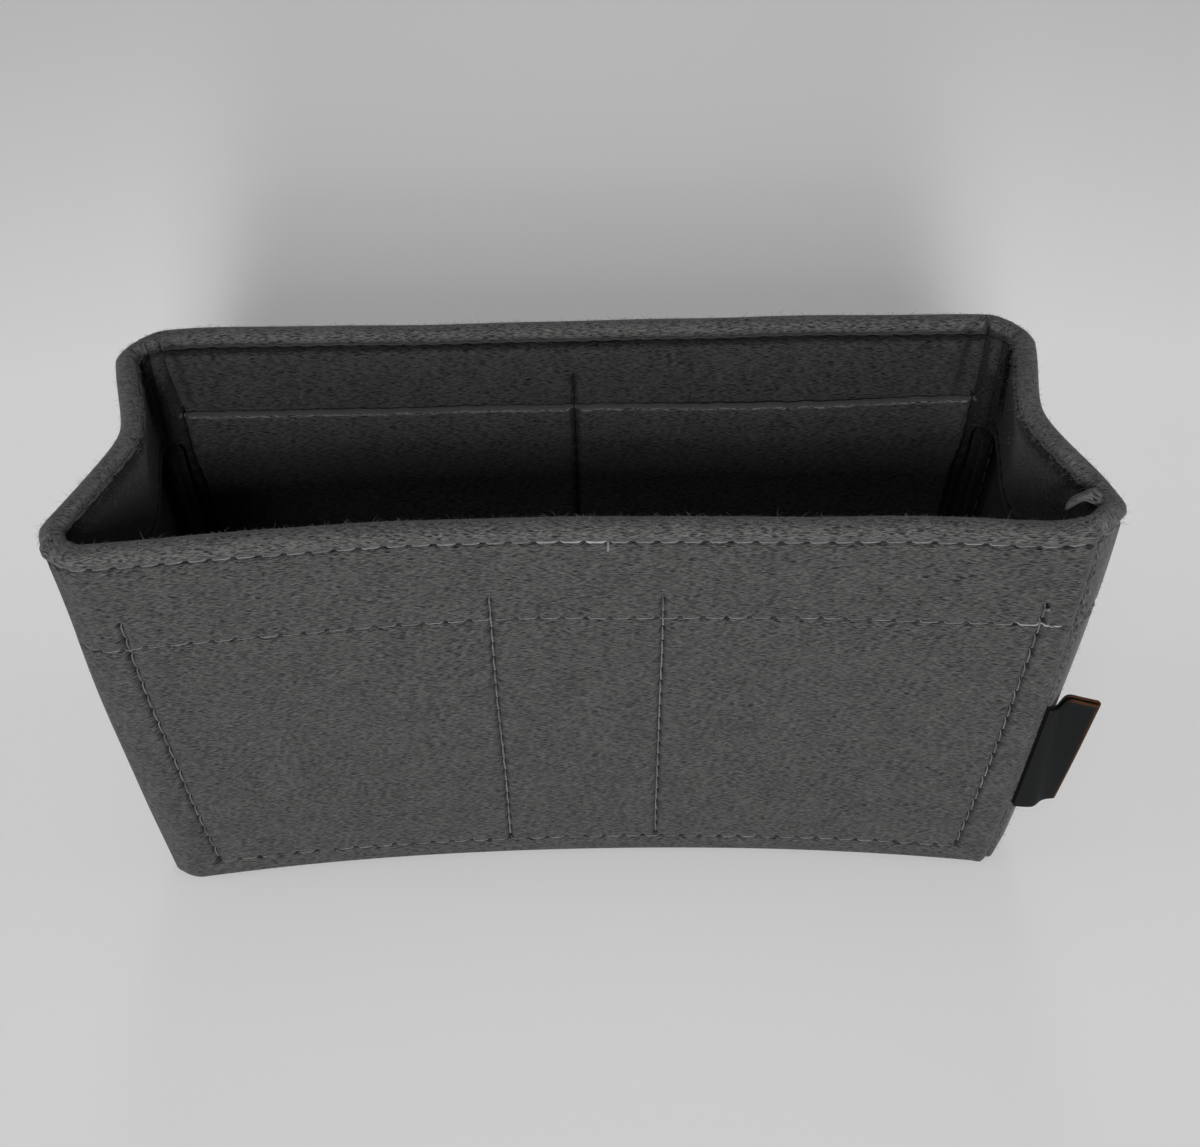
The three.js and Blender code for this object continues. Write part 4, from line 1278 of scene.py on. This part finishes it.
def side_tag():
    end = ENDS["front"]
    turn = end["turn"]["right"]
    heading = np.array([math.sin(TAG_HEADING), -math.cos(TAG_HEADING), 0])
    cross = np.array([-heading[1], heading[0], 0])
    rings, us, vs = [], [], []
    for share in np.linspace(0, 1, 22):
        z = TAG_FOOT + TAG_TALL * share
        seat = corner(end, 1, turn, np.array(z), -TAG_CLEAR)
        root = sway(seat[None])[0]
        length = 10.9 + 1.0 * share
        t = np.linspace(0, 1, 26)
        high = np.interp(t, [0, 0.22, 0.38, 0.55, 0.75, 1], [0, 0, 1.6, 2.6, 1.2, -0.6])
        low = np.interp(t, [0, 0.2, 0.45, 0.7, 1], [0, -0.7, -0.9, 0.7, 0.6])
        bow = smoothed(low + (high - low) * share, 6)
        spine = root + heading * (length * t)[:, None] + cross * bow[:, None]
        swell = np.interp(t, [0, 0.25, 0.5, 0.75, 1], [0.15, 0.31, 0.47, 0.55, 0.55])
        slack = 0.1 * np.sin(3 * t * np.pi + 4 * share)[:, None] * cross
        lines = []
        for extra in (TAG_RIBBON, 0.0):
            size = swell[-1] + extra
            offset = (swell + extra)[:, None] * cross
            arc = [
                spine[-1] + cross * size * math.cos(a) + heading * size * math.sin(a)
                for a in np.linspace(0, math.pi, 9)[1:-1]
            ]
            lines.append(np.concatenate([spine + offset + slack, arc, (spine - offset + slack)[::-1]]))
        rings.append(np.concatenate([lines[0], lines[1][::-1]]))
        run = np.concatenate([TAG_RUN * t, np.full(7, TAG_FOLD), (TAG_RUN * t)[::-1]])
        us.append(np.concatenate([run, run[::-1]]))
        vs.append(np.full(len(run) * 2, z))
    obj = loft("side_tag_ribbon", np.array(rings), us, vs, ribbon_black)
    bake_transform(obj)
    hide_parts("side_tag")


side_tag()


# Camera, floor and light

def place_camera():
    """Fitted to the box's edges in the photograph, which is 1200 pixels wide."""
    focal, wide, sensor = 1365.85, 1200, 36
    data = bpy.data.cameras.new("camera")
    data.sensor_width = sensor
    data.lens = focal * sensor / wide
    data.clip_start, data.clip_end = 0.01, 20
    obj = add_object("camera", data)
    right = Vector((0.999778, -0.015877, -0.013837))
    up = Vector((0.021055, 0.737994, 0.674478))
    forward = Vector((0.000497, 0.674620, -0.738165))
    turn = Matrix((right, up, -forward)).transposed()
    obj.matrix_world = Matrix.Translation((0.005218, -0.230499, 0.330918)) @ turn.to_4x4()
    bpy.context.scene.camera = obj


# The front lights stand one above another: height, strength and how tall each is.
# Strength 1 shows a colour as it is written.
FRONT = -0.75
FRONT_LIGHTS = ((0.25, 0.45, 0.24), (0.44, 0.47, 0.14), (0.58, 0.38, 0.16))
AIM = 0.06
EVEN = 0.34  # the light that is the same everywhere
LEVEL = 0.62  # how bright the floor and the backdrop look
AROUND = 0.10  # light from all around
SUNS = (  # azimuth, elevation, strength and spread; behind is for the views from the back
    ("left", -90, 9, 0.20, 20), ("right", 90, 9, 0.16, 20), ("upper", -25, 52, 0.08, 20),
    ("above", 180, 83, 0.08, 36), ("behind", 180, 8, 0.28, 20),
)


def floor_light(away):
    """How bright a white floor is at a distance from the foot of the front lights."""
    near = sum(
        s * (FRONT**2 + (h - AIM) ** 2) * h / (away**2 + h**2) ** 1.5 for h, s, _ in FRONT_LIGHTS
    )
    return EVEN + near


def floor_material():
    """Pale, and a little darker towards the lights, so that it looks even."""
    material, tree, shader = start_material("pale_floor", 0.8, Specular_IOR_Level=0.2)
    place = node(tree, "ShaderNodeTexCoord").outputs["Object"]
    off = node(tree, "ShaderNodeVectorMath", operation="DISTANCE")
    tree.links.new(place, off.inputs[0])
    off.inputs[1].default_value = (0, FRONT, 0)
    grain = math_node(tree, "SUBTRACT", noise(tree, place, 1.5, 2.0)["Fac"], 0.5)
    share = math_node(tree, "MULTIPLY", off.outputs["Value"], 0.5)
    uneven = math_node(tree, "ADD", share, math_node(tree, "MULTIPLY", grain, 0.04))
    tone = node(tree, "ShaderNodeValToRGB", Fac=uneven)
    stops = tone.color_ramp.elements
    for away in (0.45, 0.55, 0.65, 0.75, 0.85, 0.95, 1.05, 1.2, 1.5):
        stops.new(away / 2)
    for stop in stops:
        pale = min(LEVEL / floor_light(stop.position * 2), 0.93)
        stop.color = (pale, pale, pale * 0.998, 1)
    tree.links.new(tone.outputs["Color"], shader.inputs["Base Color"])
    return material


def floor():
    """A wide level floor."""
    radii = (0, 0.5, 1.2, 2.4, 5, 12)
    angles = [2 * math.pi * k / 64 for k in range(64)]
    verts = [(r * math.cos(a) / MM, r * math.sin(a) / MM, 0) for r in radii for a in angles]
    obj = new_mesh("pale_floor", verts, skin(len(radii), len(angles)).tolist(), floor_material())
    obj.location.z = -0.0002
    obj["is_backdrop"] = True


def sun_light(name, azimuth, elevation, strength, spread):
    """A far soft light; azimuth 0 is in front, 90 on the right."""
    data = bpy.data.lights.new(name, "SUN")
    data.energy = strength * math.pi
    data.angle = math.radians(spread)
    obj = add_object(name, data)
    a, e = math.radians(azimuth), math.radians(elevation)
    toward = Vector((math.sin(a) * math.cos(e), -math.cos(a) * math.cos(e), math.sin(e)))
    obj.rotation_euler = toward.to_track_quat("Z", "Y").to_euler()
    obj.location = toward * 2


def front_light(name, height, strength, tall):
    """A near soft light in front of the box."""
    data = bpy.data.lights.new(name, "AREA")
    data.shape = "RECTANGLE"
    data.size, data.size_y = 0.10, tall
    data.energy = strength * math.pi**2 * (FRONT**2 + (height - AIM) ** 2)
    obj = add_object(name, data)
    obj.location = (0, FRONT, height)
    obj.rotation_euler = (Vector((0, 0, AIM)) - obj.location).to_track_quat("-Z", "Y").to_euler()
    obj.visible_camera = False


def world_light(strength, backdrop):
    """Even light from all around; the camera sees a pale backdrop."""
    world = bpy.data.worlds.new("world")
    world.use_nodes = True
    tree = world.node_tree
    back = tree.nodes["Background"]
    back.inputs["Color"].default_value = (1, 1, 1, 1)
    path = node(tree, "ShaderNodeLightPath")
    seen = math_node(tree, "MAXIMUM", path.outputs["Is Camera Ray"], path.outputs["Is Glossy Ray"])
    level_up = math_node(tree, "MULTIPLY", seen, backdrop - strength)
    tree.links.new(math_node(tree, "ADD", level_up, strength), back.inputs["Strength"])
    bpy.context.scene.world = world


place_camera()
floor()
world_light(AROUND, LEVEL)
for k, (height, strength, tall) in enumerate(FRONT_LIGHTS):
    front_light(f"front_{k}", height, strength, tall)
for sun in SUNS:
    sun_light(*sun)
bpy.context.scene.view_settings.view_transform = "Standard"

low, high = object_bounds()
